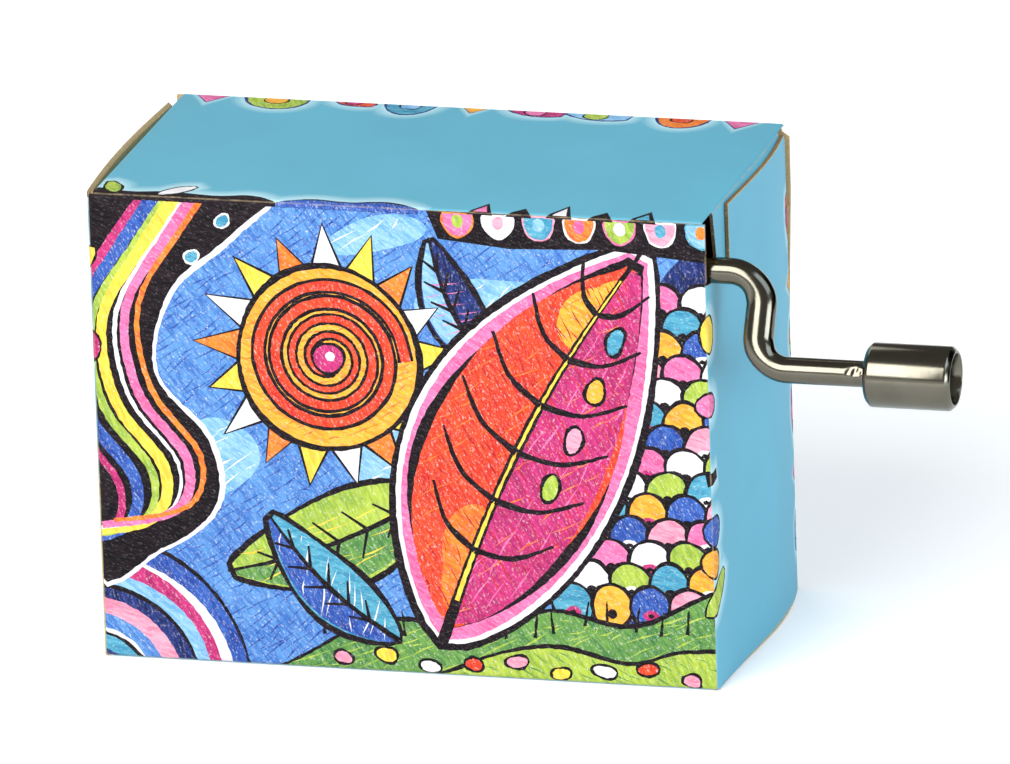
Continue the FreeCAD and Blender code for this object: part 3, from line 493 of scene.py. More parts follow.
def draw_sun(art):
    """A spiral sun with pointed rays."""
    x, y, radius = -7.5, 33.5, 9.4
    rays = 17
    for i in range(rays):
        a = tau * (i + 0.2) / rays
        tall = radius + hand.uniform(3.6, 4.8)
        ray = [(x + r * cos(a + d), y + r * sin(a + d))
               for r, d in ((radius, -0.17), (radius, 0.17), (tall, 0.03))]
        outlined(art, ("yellow", "white", "orange")[i % 3], ray, 0.35)
    outlined(art, "gold", ring(x, y, radius, wobble=0.012, count=60), 0.6)
    hatch(art, "orange", ring(x, y, radius * 0.97, count=60), 20, 0.8, 0.22)
    turns = [(x + (radius - 1.2 - 0.118 * i) * cos(0.42 * i), y + (radius - 1.2 - 0.118 * i) * sin(0.42 * i))
             for i in range(58)]
    art.append(("black", band(turns, 1.9, 1.0)))
    art.append(("scarlet", band(turns, 1.15, 0.4)))
    outlined(art, "magenta", ring(x, y, 1.5), 0.35)
    art.append(("white", ring(x + 0.2, y + 0.2, 0.5)))


def draw_big_leaf(art):
    """The large red and magenta leaf that fills the right half."""
    start, end, wide, bend = (3.5, 3.5), (26.5, 47.5), 23.0, 2.2
    whole = leaf(start, end, wide, bend, count=40)
    art.append(("black", grow(whole, 0.7)))
    art.append(("white", whole))
    art.append(("pink", grow(whole, -0.55)))
    art.append(("black", grow(whole, -1.5)))
    body = grow(whole, -2.0)
    art.append(("scarlet", body))
    for t, size, ink in ((0.2, 7, "orange"), (0.8, 6, "gold")):
        (x, y), _ = spine(start, end, bend, t)
        art.append((ink, ring(x, y, size * 0.8, size * 0.5, 1.1, 0.15)))
    half = leaf((4.6, 5.6), (25.4, 45.4), wide - 4.6, bend, (0, -1), 40)
    art.append(("magenta", half))
    hatch(art, "red", body, 118, 0.62, 0.17, 0.8)
    hatch(art, "orange", body, 30, 1.5, 0.16, 0.5)
    hatch(art, "pink", half, 60, 1.3, 0.2, 0.6)
    mid = [spine(start, end, bend, t / 10)[0] for t in range(11)]
    art.append(("black", band(mid, 1.3, 0.5)))
    art.append(("yellow", band(mid[1:-1], 0.45, 0.15)))
    for i in range(1, 7):
        t = 0.1 + 0.118 * i
        point, left = spine(start, end, bend, t)
        for side in (1, -1):
            reach = side * (wide / 2 - 3.0) * sin(pi * (t + 0.07)) ** 0.8
            vein = [point, beside(point, left, reach * 0.55, 1.2), beside(point, left, reach, 4.6)]
            art.append(("black", band(vein, 0.75, 0.3)))
            if side < 0 and 1 < i < 6:
                spot = ring(*beside(point, left, reach * 0.55, 4.2), 1.35, 0.8, 1.2, 0.06)
                outlined(art, ("gold", "teal", "lime", "rose")[i % 4], spot, 0.35)


def draw_small_leaves(art):
    """Two leaves under the sun, one green and one blue, and a navy one above."""
    for start, end, wide, inks, turn in (
            ((3.0, 19.5), (-19.0, 10.0), 9.5, ("lime", "green", "yellow"), 25),
            ((-1.0, 3.5), (-14.5, 16.5), 6.4, ("teal", "royal", "white"), 80),
            ((10.0, 33.0), (3.5, 47.0), 5.6, ("navy", "sky", "pink"), 10)):
        whole = leaf(start, end, wide, 1.2, count=30)
        outlined(art, inks[0], whole, 0.55)
        art.append((inks[1], leaf(start, end, wide * 0.94, 1.2, (1, 0), 30)))
        hatch(art, inks[2], whole, turn, 0.95, 0.16, 0.6)
        art.append(("black", band([spine(start, end, 1.2, t / 8)[0] for t in range(9)], 0.7, 0.3)))
        for i in range(1, 6):
            point, left = spine(start, end, 1.2, i / 7 + 0.05)
            for side in (1, -1):
                reach = side * wide * 0.3 * sin(pi * i / 7 + 0.3)
                art.append(("black", band([point, beside(point, left, reach, 1.8)], 0.4, 0.2)))


def draw_rainbow(art):
    """Arches in the lower left corner."""
    inks = ("royal", "white", "magenta", "sky", "navy", "rose", "blue", "white", "teal", "navy", "sky")
    radius = 16.5
    for i, ink in enumerate(inks):
        outline = ring(-33.5, -2.5, radius, radius * 0.94, wobble=0.012, count=72)
        if i % 4 == 0:
            art.append(("black", grow(outline, 0.4)))
        art.append((ink, outline))
        radius -= 0.7 if ink == "white" else hand.uniform(1.3, 1.8)


def draw_scales(art):
    """Overlapping scales at the right edge."""
    inks = ("teal", "pink", "gold", "white", "royal", "lime", "rose")
    art.append(("navy", smooth([(19, 5), (34.5, 5), (34.5, 44), (28, 44), (24, 30)])))
    for row in range(13, -1, -1):
        for column in range(5):
            x, y = 17.5 + column * 4.1 + (row % 2) * 2.05, 8.5 + row * 2.5
            scale = ring(x, y, 2.0, 2.15, wobble=0.04, count=26)
            outlined(art, inks[(row * 3 + column * 2) % 7], scale, 0.4)
            if (row + column) % 2:
                art.append(("black", ring(x, y - 0.8, 0.55, 0.5, count=14)))
            else:
                art.append((("magenta", "white")[row % 2], ring(x, y - 0.8, 0.85, 0.6, count=16)))
                art.append(("black", ring(x, y - 0.8, 0.35, 0.25, count=12)))


def draw_hills(art):
    """Green hills with grass and stones along the bottom."""
    for points, ink, second, *strokes in (
            ([(-12, -3), (-9, 2.5), (-1, 5.6), (8, 4.6), (15, 7.5), (24, 6.2), (35, 10.5), (35, -3)],
             "green", "lime", 25, 0.7, 0.2),
            ([(2, -3), (7, 1.6), (15, 3.6), (23, 2.2), (29, 3.8), (35, 3.2), (35, -3)],
             "lime", "green", 150, 0.75, 0.18)):
        hill = smooth(points)
        outlined(art, ink, hill, 0.45)
        hatch(art, second, hill, *strokes, 0.7)
    for i in range(9):
        x = -7 + i * 4.6
        height = 1.4 + 0.6 * sin(i * 2.1)
        stone = ring(x, height, hand.uniform(0.8, 1.2), 0.65, hand.uniform(-0.4, 0.4), 0.08, 20)
        outlined(art, ("rose", "yellow", "white", "scarlet")[i % 4], stone, 0.28)
    for i in range(16):
        x = -9 + i * 2.75 + hand.uniform(-0.5, 0.5)
        y = 4.3 + 0.075 * (x + 9) + 0.7 * sin(x * 0.4)
        lean = hand.uniform(-0.5, 0.5)
        blade = [(x, y - 0.8), (x + lean * 0.5, y + 0.7), (x + lean, y + 1.9)]
        art.append(("black", band(blade, 0.4, 0.12)))


def draw_bunting(art, border):
    """A black strip along the top edge at the right, with half discs that hang from it."""
    art.append(("black", [(2.5, 52), (4.5, 46.9), (12, 46.2), (22, 46.6), (34, 45.6), (34, 52)]))
    inks = ("pink", "white", "teal", "orange", "lime", "rose", "sky")
    for i, ink in enumerate(inks):
        x = 6.6 + i * 4.25
        curve = [(x - 1.55 * cos(pi * k / 14), 49.4 - 2.1 * sin(pi * k / 14)) for k in range(15)]
        half = [(x - 1.55, 49.7), *curve, (x + 1.55, 49.7)]
        outlined(art, ink, half, 0.2, "white" if i % 2 else inks[(i + 3) % 7])
        art.append((inks[(i + 4) % 7], ring(x, 48.9, 0.6, 0.75, count=16)))
    for x, tall, ink in ((9.0, 2.6, "pink"), (13.1, 1.5, "black"), (17.3, 3.1, "white"),
                         (21.6, 1.6, "black"), (26.0, 2.4, "teal")):
        spike = [(x - 1.2, 49.8), (x + 1.1, 49.8), (x + 0.3, 50 + tall)]
        border.append(("black", grow(spike, 0.3)))
        border.append((ink, [(x - 0.75, 50.2), (x + 0.7, 50.2), (x + 0.25, 49.4 + tall)]))


def halos(layer, outlines):
    """A pale glow on the plain print round some shapes, which fades outwards."""
    for step, ink in enumerate(HALO_INKS):
        for outline in outlines:
            layer.append((ink, grow(outline, 1.7 - 0.25 * step, 0.06)))


def draw_borders(border):
    """Small half shapes along the rear creases, and bits that cross the front creases."""
    inks = ("pink", "lime", "scarlet", "teal", "gold", "magenta", "sky", "orange")
    spike, disc, blade = range(3)
    shapes = []
    x, number, base = -28.5, 0, TALL + DEEP + 0.3
    while x < 31:
        size = hand.uniform(1.5, 2.8)
        kind = (spike, disc, blade, disc, spike, blade, blade, disc)[number % 8]
        if kind == spike:
            shape = [(x - size, base), (x - size * 0.1, base - size * 1.35), (x + size, base)]
        elif kind == disc:
            shape = ring(x, base, size * 1.2, size * 1.5, wobble=0.04, count=30)
        else:
            shape = leaf((x - size * 1.4, base + 0.8), (x + size * 1.5, base - 1.6), size * 1.5, count=12)
        shapes.append((kind, shape, number, x, base - size * 0.4, size))
        x += size * 2 + hand.uniform(1.6, 3.6)
        number += 1
    for side in (1, -1):
        edge = side * (HALF_WIDE + END_LONG)
        for y, size, kind, number in ((6.5, 2.0, disc, 3), (13.0, 1.4, spike, 0), (19.5, 2.4, blade, 5),
                                      (27.5, 1.7, disc, 1), (33.5, 1.5, spike, 4), (40.5, 2.3, blade, 2)):
            if kind == spike:
                shape = [(edge, y - size), (edge - side * size * 1.3, y), (edge, y + size)]
            elif kind == disc:
                shape = ring(edge, y, size * 0.9, size * 1.1, wobble=0.04, count=30)
            else:
                ends = (edge + side, y - size * 1.3), (edge - side * 1.2, y + size * 1.2)
                shape = leaf(*ends, size * 1.2, count=12)
            shapes.append((kind, shape, number, edge - side * size * 0.3, y, size))
    halos(border, [shape for _, shape, *_ in shapes])
    for kind, shape, number, x, y, size in shapes:
        outlined(border, inks[number % 8], shape, 0.28, "navy")
        if kind != spike:
            outlined(border, inks[(number + 3) % 8], ring(x, y, size * 0.45, size * 0.4, count=18), 0.2)
    crossing = (
        ("lime", leaf((31.5, 8.0), (36.2, 12.5), 2.2, count=12)),
        ("black", band([(32.0, 22.5), (34.2, 22.9)], 0.9, 0.7)),
        ("yellow", ring(33.0, 38.0, 1.3, 1.9)),
        ("pink", ring(32.6, 30.5, 1.5, 1.2)),
        ("royal", ring(33.1, 17.0, 1.6, 1.5)),
        ("gold", ring(32.7, 13.6, 1.5, 1.4)),
        ("yellow", leaf((-31.8, 44.0), (-35.4, 41.0), 1.9, count=12)),
        ("magenta", ring(-32.8, 33.5, 1.1, 1.5)),
        ("black", band([(-32.0, 18.0), (-34.0, 18.3)], 0.9, 0.6)),
        ("white", leaf((-25.0, 50.4), (-21.5, 53.6), 1.6, count=12)),
        ("lime", leaf((-29.5, 50.4), (-31.0, 54.0), 1.6, count=12)),
    )
    overlaps = [(ink, smooth(line, False) + [(line[-1][0], 49.4), (line[0][0], 49.4)]) for ink, line in (
        ("black", [(-34, 51.2), (-31, 51.6), (-28, 50.9), (-24, 51.4), (-19, 50.8), (-15.5, 51.5),
                   (-12.5, 50)]),
        ("royal", [(-12.5, 50), (-9, 51.3), (-5, 50.9), (-1, 51.6), (2.5, 50)]))]
    halos(border, [shape for _, shape in crossing] + [shape for _, shape in overlaps])
    for ink, shape in overlaps:
        border.append(("black", shape))
        border.append((ink, [(x, min(y, 50 + (y - 50) * 0.75)) for x, y in shape]))
    for ink, shape in crossing:
        outlined(border, ink, shape, 0.25)


def draw_wear(border):
    """Bare card along the rubbed lower left crease and thin along the right end's top and notch edges, and a
    thin pale strip along its bottom edge that is a painted line of floor shade and reflection.
    """
    edge, high, rear = -HALF_WIDE, TALL - 0.6, HALF_WIDE + END_LONG
    start = HALF_WIDE + NOTCH_DEEP
    strips = (
        [(edge - 0.8, 0.2), (edge + 0.06, 0.2), (edge + 0.02, 9), (edge - 0.04, 17), (edge - 0.2, 25),
         (edge - 0.8, 26)],
        [(start, TALL - 7.8), (start + 0.13, TALL - 7.8), (start + 0.13, high - 0.13),
         (rear - 0.8, high - 0.1), (rear - 0.8, high + 0.1), (start, high + 0.1)],
        # A thin pale strip along the bottom edge paints the line of floor shade and reflection where the end
        # meets the floor
        [(start - 2, 0), (rear - 6, 0), (rear - 3, 0), (rear - 7, 0.36), (rear - 13, 0.34),
         (start + 2, 0.24)],
    )
    border.extend(("bare", strip) for strip in strips)


def draw_all():
    """Fill both layers of the drawing, the farthest shapes first."""
    draw_borders(BORDER_ART)
    for draw in (draw_sky, draw_rainbow, draw_scales, draw_river, draw_hills, draw_small_leaves, draw_sun,
                 draw_big_leaf):
        draw(FRONT_ART)
    draw_bunting(FRONT_ART, BORDER_ART)
    draw_wear(BORDER_ART)
    for layer in (FRONT_ART, BORDER_ART):
        layer[:] = [(ink, shape if ink in HALO_INKS or len(shape) < 8 else rough(shape))
                    for ink, shape in layer]


# meshes and pieces

def make_mesh(name, vertices, polygons, materials, sharp):
    """A smooth mesh that keeps the edges sharper than an angle in degrees."""
    mesh = bpy.data.meshes.new(name)
    mesh.from_pydata(vertices, [], polygons)
    for material in materials:
        mesh.materials.append(material)
    mesh.polygons.foreach_set("use_smooth", [True] * len(polygons))
    mesh.set_sharp_from_angle(angle=radians(sharp))
    return mesh


def add_object(name, data):
    """Put an object with this mesh, lamp or camera into the scene."""
    item = bpy.data.objects.new(name, data)
    bpy.context.collection.objects.link(item)
    return item


def add_piece(name, mesh, body, node):
    """Add a visible piece that replaces a solid. It rides on a body when one is given."""
    mesh.validate()
    piece = add_object(name, mesh)
    if body:
        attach(piece, body)
    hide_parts(node)
    return piece


def ease(value, low, high):
    """Rise smoothly from 0 to 1 between two values."""
    t = min(max((value - low) / (high - low), 0.0), 1.0)
    return t * t * (3 - 2 * t)


# card panels

PANELS = {}
PLAIN_PANEL = dict(bow=None, art=(), printed=True, edge="cut", springs=False, bevel=0.0)


def panel(name, node, body, outline, origin, axes, rounds=(), **more):
    """Note a panel's place on the unfolded carton and in space, and the edges where it is folded.

    The axes are where the carton's x and y go in space, and the way out of the box. Each round is the axis
    that it runs across, the fold's place on it, the side on which the fold lies, its radius and, for some,
    where it fades out. A flap that springs leans on the bowed right end, and a bevel slants the top edge."""
    PANELS[name] = dict(PLAIN_PANEL, node=node, body=body, outline=outline, origin=Vector(origin),
                        axes=axes, rounds=rounds, **more)


def extent(outline):
    """The lowest and the highest corner of the rectangle round an outline."""
    xs, ys = zip(*outline)
    return (min(xs), min(ys)), (max(xs), max(ys))


def on_panel(this, x, y, depth):
    """The point in space of a place on the unfolded carton, at a depth under the print."""
    if depth and this["bevel"]:
        slant = this["outline"][-1][1] - 2 * this["bevel"]
        y = min(y, slant + (y - slant) / 2)
    right, up, out = this["axes"]
    point = this["origin"] + right * x + up * y
    normal = out.copy()
    if this["bow"]:
        most, lower, skew = this["bow"]
        (low, _), (high, _) = extent(this["outline"])
        t = max(abs(x) - HALF_WIDE, 0.0) / (high - low)
        height = most + (lower - most) * (1 - min(max(y / TALL, 0.0), 1.0))
        point += out * height * sin(pi * t ** skew)
        slope = height * pi * skew * max(t, 1e-6) ** (skew - 1) * cos(pi * t ** skew) / (high - low)
        normal -= right * slope * (1 if x > 0 else -1)
    if this["springs"]:
        t = (y - TALL) / END_LONG
        lean = max(RIGHT_BOW[0] * sin(pi * t ** RIGHT_BOW[2]) - SPRING_GAP, 0.0)
        point += out * lean * ease(x - TOP_RIGHT, 0.05, SPRING_FALL)
    for axis, edge, way, radius, *stop in this["rounds"]:
        inside = radius - way * (edge - (x, y)[axis])
        if inside > 0:
            along = (right, up)[axis] * way
            folded = 1 - ease(y, *stop) if stop else 1.0
            angle = min(inside / radius, 1.0) * pi / 4 * folded
            point += along * (radius * sin(angle) - inside) * folded
            point -= out * radius * (1 - cos(angle))
            normal += along * tan(angle)
    return (point - normal.normalized() * depth) * MM


def guide_lines(this):
    """Lines along which a panel's mesh is split so that its creases and bow are smooth."""
    (left, low), (right, high) = extent(this["outline"])
    levels = []
    for axis, edge, way, radius, *stop in this["rounds"]:
        levels += [(1, value) for value in stop]
        levels += [(axis, edge - way * radius * step / 4) for step in range(5)]
    if this["bow"]:
        levels += [(0, left + (right - left) * step / 12) for step in range(1, 12)]
    if this["springs"]:
        for step in range(1, 12):
            levels += [(1, low + (high - low) * step / 12), (0, left + SPRING_FALL * step / 11)]
    return [((left - 2, value), (right + 2, value)) if axis else ((value, low - 2), (value, high + 2))
            for axis, value in levels]


def panel_mesh(name, materials):
    """Split a panel along its drawing, fold it and give it its thickness."""
    this = PANELS[name]
    low, high = extent(this["outline"])
    points, faces, edges, inks = [], [], [], []
    for ink, shape in [("cyan" if this["printed"] else "raw", this["outline"]), *this["art"]]:
        first, last = extent(shape)
        if all(first[k] < high[k] and last[k] > low[k] for k in (0, 1)):
            faces.append(list(range(len(points), len(points) + len(shape))))
            points += shape if turns_left(shape) else shape[::-1]
            inks.append(ink)
    for line in guide_lines(this):
        edges.append((len(points), len(points) + 1))
        points += line
    flat, _, cells, _, _, owners = delaunay_2d_cdt([Vector(p) for p in points], edges, faces, 0, 1e-5)
    kept = [(cell, inks[max(owner)]) for cell, owner in zip(cells, owners) if 0 in owner]
    number = {v: i for i, v in enumerate(sorted({v for cell, _ in kept for v in cell}))}
    count = len(number)
    net = [(*flat[v], depth) for depth in (0.0, CARD) for v in number]
    slots = ["raw", this["edge"]]
    polygons, indices, directed = [], [], {}
    right, up, out = this["axes"]
    flipped = right.cross(up).dot(out) < 0
    for cell, ink in kept:
        if ink not in slots:
            slots.append(ink)
        corners = [number[v] for v in cell]
        if flipped:
            corners.reverse()
        polygons += [corners, [count + v for v in reversed(corners)]]
        indices += [slots.index(ink), 0]
        directed.update(dict.fromkeys(zip(corners, corners[1:] + corners[:1])))
    for a, b in directed:
        if (b, a) not in directed:
            polygons.append([b, a, count + a, count + b])
            indices.append(1)
    vertices = [on_panel(this, *place) for place in net]
    mesh = make_mesh(name, vertices, polygons, [materials[slot] for slot in slots], 40)
    mesh.polygons.foreach_set("material_index", indices)
    attribute = mesh.attributes.new("net", "FLOAT_VECTOR", "POINT")
    attribute.data.foreach_set("vector", [c for place in net for c in place])
    add_piece(name, mesh, this["body"], this["node"])


def end_outline(side):
    """The outline of an end panel, from its crease at the front to its rear edge."""
    rear = END_LONG
    if side > 0:
        high = TALL - 0.6
        corners = [(0, 0.1), (rear - 0.2, 0.05), (rear, 0.3), (rear, high - 9.5), (rear - 0.5, high - 5.5),
                   (rear - 0.6, high - 1.0), (rear - 1.2, high), (NOTCH_DEEP, high),
                   (NOTCH_DEEP, NOTCH_Z - 1.0), (0, NOTCH_Z)]
    else:
        low, high, cut = 0.05, TALL - 0.1, 2.0
        corners = [(0, low), (rear - cut, low), (rear, low + cut), (rear, high - cut), (rear - cut, high),
                   (0, high)]
    return [(side * (HALF_WIDE + t), y) for t, y in corners]


def plan_main_panels():
    """The four panels of the sleeve and its glued flap."""
    def sleeve(name, *place, **more):
        panel(name, "carton_sleeve", "carton", *place, **more)

    both = FRONT_ART + [(ink, shape) for ink, shape in BORDER_ART if ink not in HALO_INKS]
    top, low = TALL + DEEP, 2 * TALL + DEEP
    # The front's cut edges, seen only at the notch, get the dark edge colour that paints the shade there
    sleeve("front_panel", box_outline(-HALF_WIDE, 0, HALF_WIDE, TALL), (0, -HALF_DEEP, 0), (X, Z, -Y),
           ((0, -HALF_WIDE, -1, CREASE), (0, HALF_WIDE, 1, CREASE, NOTCH_Z, NOTCH_Z + 0.4),
            (1, 0, -1, CREASE), (1, TALL, 1, CREASE)), art=both, edge="shade")
    sleeve("top_panel", box_outline(-DUST_X, TALL, TOP_RIGHT, top), (0, -HALF_DEEP - TALL, TALL), (X, Y, Z),
           ((1, TALL, -1, CREASE), (1, top, 1, REAR_CREASE), (0, -DUST_X, -1, FLAP_CREASE),
            (0, TOP_RIGHT, 1, FLAP_CREASE)), art=BORDER_ART)
    back = [(-HALF_WIDE, top), (DUST_X - 0.3, top), (HALF_WIDE - 0.5, top + 0.9),
            (HALF_WIDE + 0.22, top + 1.4), (HALF_WIDE + 0.2, top + 7), (DUST_X, top + 26), (DUST_X, low),
            (-DUST_X, low), (-DUST_X, top + 26)]
    sleeve("back_panel", back, (0, HALF_DEEP, low), (X, -Z, Y),
           ((1, top, -1, REAR_CREASE), (1, low, 1, CREASE)), art=BORDER_ART)
    sleeve("bottom_panel", box_outline(-DUST_X, -DEEP, DUST_X, 0), (0, -HALF_DEEP, 0), (X, -Y, -Z),
           ((1, 0, 1, CREASE), (1, -DEEP, -1, CREASE), (0, -DUST_X, -1, FLAP_CREASE),
            (0, DUST_X, 1, FLAP_CREASE)), art=BORDER_ART)
    sleeve("glue_flap", box_outline(-31.5, -60, 31.5, -49), (0, -43.5, 0.45), (X, -Y, -Z), printed=False)


def plan_end(side, name, bodies, **looks):
    """An end panel with its tuck flap and the two dust flaps behind it."""
    end_body, tuck_body, top_body, bottom_body = bodies
    edge, rear = side * HALF_WIDE, side * (HALF_WIDE + END_LONG)
    panel(f"{name}_end", f"{name}_end_panel", end_body, end_outline(side),
          (edge, -HALF_DEEP - HALF_WIDE, 0), (side * Y, Z, side * X),
          ((0, edge, -side, CREASE), (0, rear, side, FLAP_CREASE)), art=BORDER_ART, **looks)
    low, high = TUCK_MARGIN, TALL - TUCK_MARGIN
    tuck = [(0, low), (TUCK_LONG - 4, low), (TUCK_LONG - 1.2, low + 1.2), (TUCK_LONG, low + 4),
            (TUCK_LONG, high - 4), (TUCK_LONG - 1.2, high - 1.2), (TUCK_LONG - 4, high), (0, high)]
    panel(f"{name}_tuck", f"{name}_tuck_flap", tuck_body, [(rear + side * t, y) for t, y in tuck],
          (edge + rear, TUCK_Y, 0), (-X, Z, Y), ((0, rear, -side, FLAP_CREASE),))
    for level, way, body in (("top", 1, top_body), ("bottom", -1, bottom_body)):
        springs = way > 0 and side > 0
        start = TOP_RIGHT if springs else side * DUST_X
        tip = start + side * DUST_LONG
        near, far = DUST_START, DEEP - DUST_START
        if way > 0:
            origin = (start, -HALF_DEEP - TALL, TALL + abs(start))
            near, far = TALL + near + (1.0 if springs else 0.0), TALL + far
        else:
            origin = (start, -HALF_DEEP, -DUST_X)
            near, far = -near, -far
        flap = [(start, near), (tip - side * 1.5, near + way * 2.6), (tip, near + way * 4.4),
                (tip, far - way * 4.4), (tip - side * 1.5, far - way * 2.6), (start, far)]
        # The dust flaps' cut edges get the dark edge colour, painted shade where they sit behind the front
        # panel
        panel(f"{name}_{level}_dust", f"{name}_{level}_dust_flap", body, flap, origin,
              (-way * side * Z, way * Y, side * X), ((0, start, -side, FLAP_CREASE),), art=BORDER_ART,
              edge="shade", springs=springs)


# crank, knob, crease and pad

def loft(name, rings, material, body, node, closed=False):
    """Join rings of points into a closed surface, with two end faces unless it closes on itself."""
    count = len(rings[0])
    polygons = []
    for i in range(len(rings) if closed else len(rings) - 1):
        here, there = i * count, (i + 1) % len(rings) * count
        for k in range(count):
            m = (k + 1) % count
            polygons.append((here + k, here + m, there + m, there + k))
    if not closed:
        last = (len(rings) - 1) * count
        polygons += [tuple(range(count - 1, -1, -1)), tuple(range(last, last + count))]
    mesh = make_mesh(name, [point * MM for one in rings for point in one], polygons, [material], 38)
    return add_piece(name, mesh, body, node)


def wire_path():
    """Points along the crank's centre line as (x, offset, heading), from the journal to the peened end."""
    path = []

    def straight(start, end, step, turn=0.0):
        count = max(int(dist(start, end) / step), 1)
        for i in range(count + 1):
            path.append((*(a + (b - a) * i / count for a, b in zip(start, end)), turn))

    def arc(centre, radius, first, last, lean=0.0):
        quarter = pi / 2 if last > first else -pi / 2
        for i in range(1, 16):
            a = first + (last - first) * i / 16
            x, offset = centre[0] + radius * cos(a) + lean * i / 16, centre[1] + radius * sin(a)
            path.append((x, offset, a + quarter))

    worm_end = WORM_START + WORM_TURNS * WORM_LEAD
    for start, end, step in (
            (SHOULDER_X - 2.3, SHOULDER_X, 0.5), (SHOULDER_X + 0.001, WORM_START - 0.7, 0.8),
            (WORM_START - 0.65, worm_end + 0.65, 0.06), (worm_end + 0.7, ARM_X - SHAFT_BEND, 0.8)):
        straight((start, 0.0), (end, 0.0), step)
    arc((ARM_X - SHAFT_BEND, SHAFT_BEND), SHAFT_BEND, -pi / 2, 0.0, ARM_LEAN)
    straight((ARM_X + ARM_LEAN, SHAFT_BEND), (ARM_X, CRANK_OFFSET - HANDLE_BEND), 0.8, pi / 2)
    arc((ARM_X + HANDLE_BEND, CRANK_OFFSET - HANDLE_BEND), HANDLE_BEND, pi, pi / 2)
    for start, end, step in ((ARM_X + HANDLE_BEND, KNOB_X - 2.4, 0.8), (KNOB_X - 2.3, KNOB_X - 0.1, 0.1),
                             (KNOB_X, WIRE_END - 0.05, 0.8)):
        straight((start, CRANK_OFFSET), (end, CRANK_OFFSET), step)
    return path


def wire_radii(x, offset, angle):
    """The wire's radius in its bend plane and across it, at an angle from the side away from the arm."""
    if offset == 0 and x <= SHOULDER_X:
        return JOURNAL, JOURNAL
    if offset == 0 and abs(x - WORM_MIDDLE) < WORM_TURNS * WORM_LEAD / 2 + 0.6:
        turns = -angle / tau
        nearest = round((x - WORM_START) / WORM_LEAD - turns)
        away = abs(x - WORM_START - (turns + nearest) * WORM_LEAD)
        if 0 <= turns + nearest <= WORM_TURNS:
            radius = WORM_ROOT + max(away - WORM_GAP / 2, 0.0) / tan(WORM_FLANK)
            return min(radius, WIRE), min(radius, WIRE)
    beyond = x - KNOB_X
    pinch = (offset > 0) * ease(beyond, -2.3, -1.5) * (1 - ease(beyond, -0.8, -0.3))
    lumps = 0.05 * sin(3 * angle + 5 * x) + 0.035 * sin(5 * angle - 9 * x)
    pressed = ease(offset, 0.3, 2.6) * (1 - ease(offset, 7.3, 9.4))
    tall, deep = WIRE + 0.22 * pressed, WIRE - 0.08 * pressed
    if sin(angle) < 0:
        face = PINCH_FACE / max(cos(angle - PINCH_TURN), 0.5) / WIRE
        narrow = 1 - max(1 - face - 0.4 * lumps, 0.0) * pinch
        return tall * narrow, deep * narrow
    return tall, deep + (0.38 - lumps) * pinch


def circle(x, radius, count):
    """Points round the handle's axis."""
    centre = Vector((x, SHAFT_Y, SHAFT_Z)) + DOWN * CRANK_OFFSET
    return [centre - DOWN * radius * cos(tau * k / count) + ACROSS * radius * sin(tau * k / count)
            for k in range(count)]


def make_crank(material):
    """The bent wire with its worm, pinch and peened end."""
    count = 48
    rings = []
    for x, offset, turn in wire_path():
        centre = X * x + Vector((0, SHAFT_Y, SHAFT_Z)) + DOWN * offset
        away = (X * cos(turn) + DOWN * sin(turn)).cross(ACROSS)
        one = []
        for k in range(count):
            angle = tau * k / count
            tall, deep = wire_radii(x, offset, angle)
            one.append(centre + away * tall * cos(angle) + ACROSS * deep * sin(angle))
        rings.append(one)
    rings += [circle(WIRE_END + x, radius, count) for x, radius in PEEN_PROFILE]
    loft("crank_handle_wire", rings, material, "crank", "crank_wire")


def make_knob(material):
    """The turned barrel on the handle, with rounded edges and a recess at its outer end."""
    rings = [circle(KNOB_X + x, radius, 96) for x, radius in KNOB_PROFILE]
    loft("knob_barrel", rings, material, "knob", "knob", closed=True)


def make_left_crease(material):
    """The inner ridge of the left front crease, which closes the corner however far the end is open."""
    outer = [(1.3, 0.36), (0.75, 0.38), (0.5, 0.44), (0.44, 0.5), (0.38, 0.75), (0.36, 1.3)]
    inner = [(0.41, 1.3), (0.47, 0.8), (0.55, 0.59), (0.59, 0.55), (0.8, 0.47), (1.3, 0.41)]
    corner = Vector((-HALF_WIDE, -HALF_DEEP, 0))
    rings = [[corner + Vector((x, y, z)) for x, y in outer + inner] for z in (0.2, TALL - 0.2)]
    piece = loft("left_crease", rings, material, None, "carton_sleeve")
    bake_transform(piece)


def make_pad(material):
    """The foam pad between the movement and the top panel, with slightly bulging sides."""
    rings = []
    for level in range(7):
        t = level / 6
        grown = PAD_BULGE * (sin(pi * t) - 1)
        one = []
        for i in range(64):
            c, s = cos(tau * i / 64), sin(tau * i / 64)
            stretch = 1 / max(abs(c) ** 8 + abs(s) ** 8, 1e-6) ** 0.125
            one.append(Vector((PAD_X + (PAD_LONG / 2 + grown) * c * stretch,
                               (PAD_DEEP / 2 + grown) * s * stretch, TALL - CARD - PAD_THICK * (1 - t))))
        rings.append(one)
    loft("foam_pad", rings, material, "carton", "adhesive_pad")


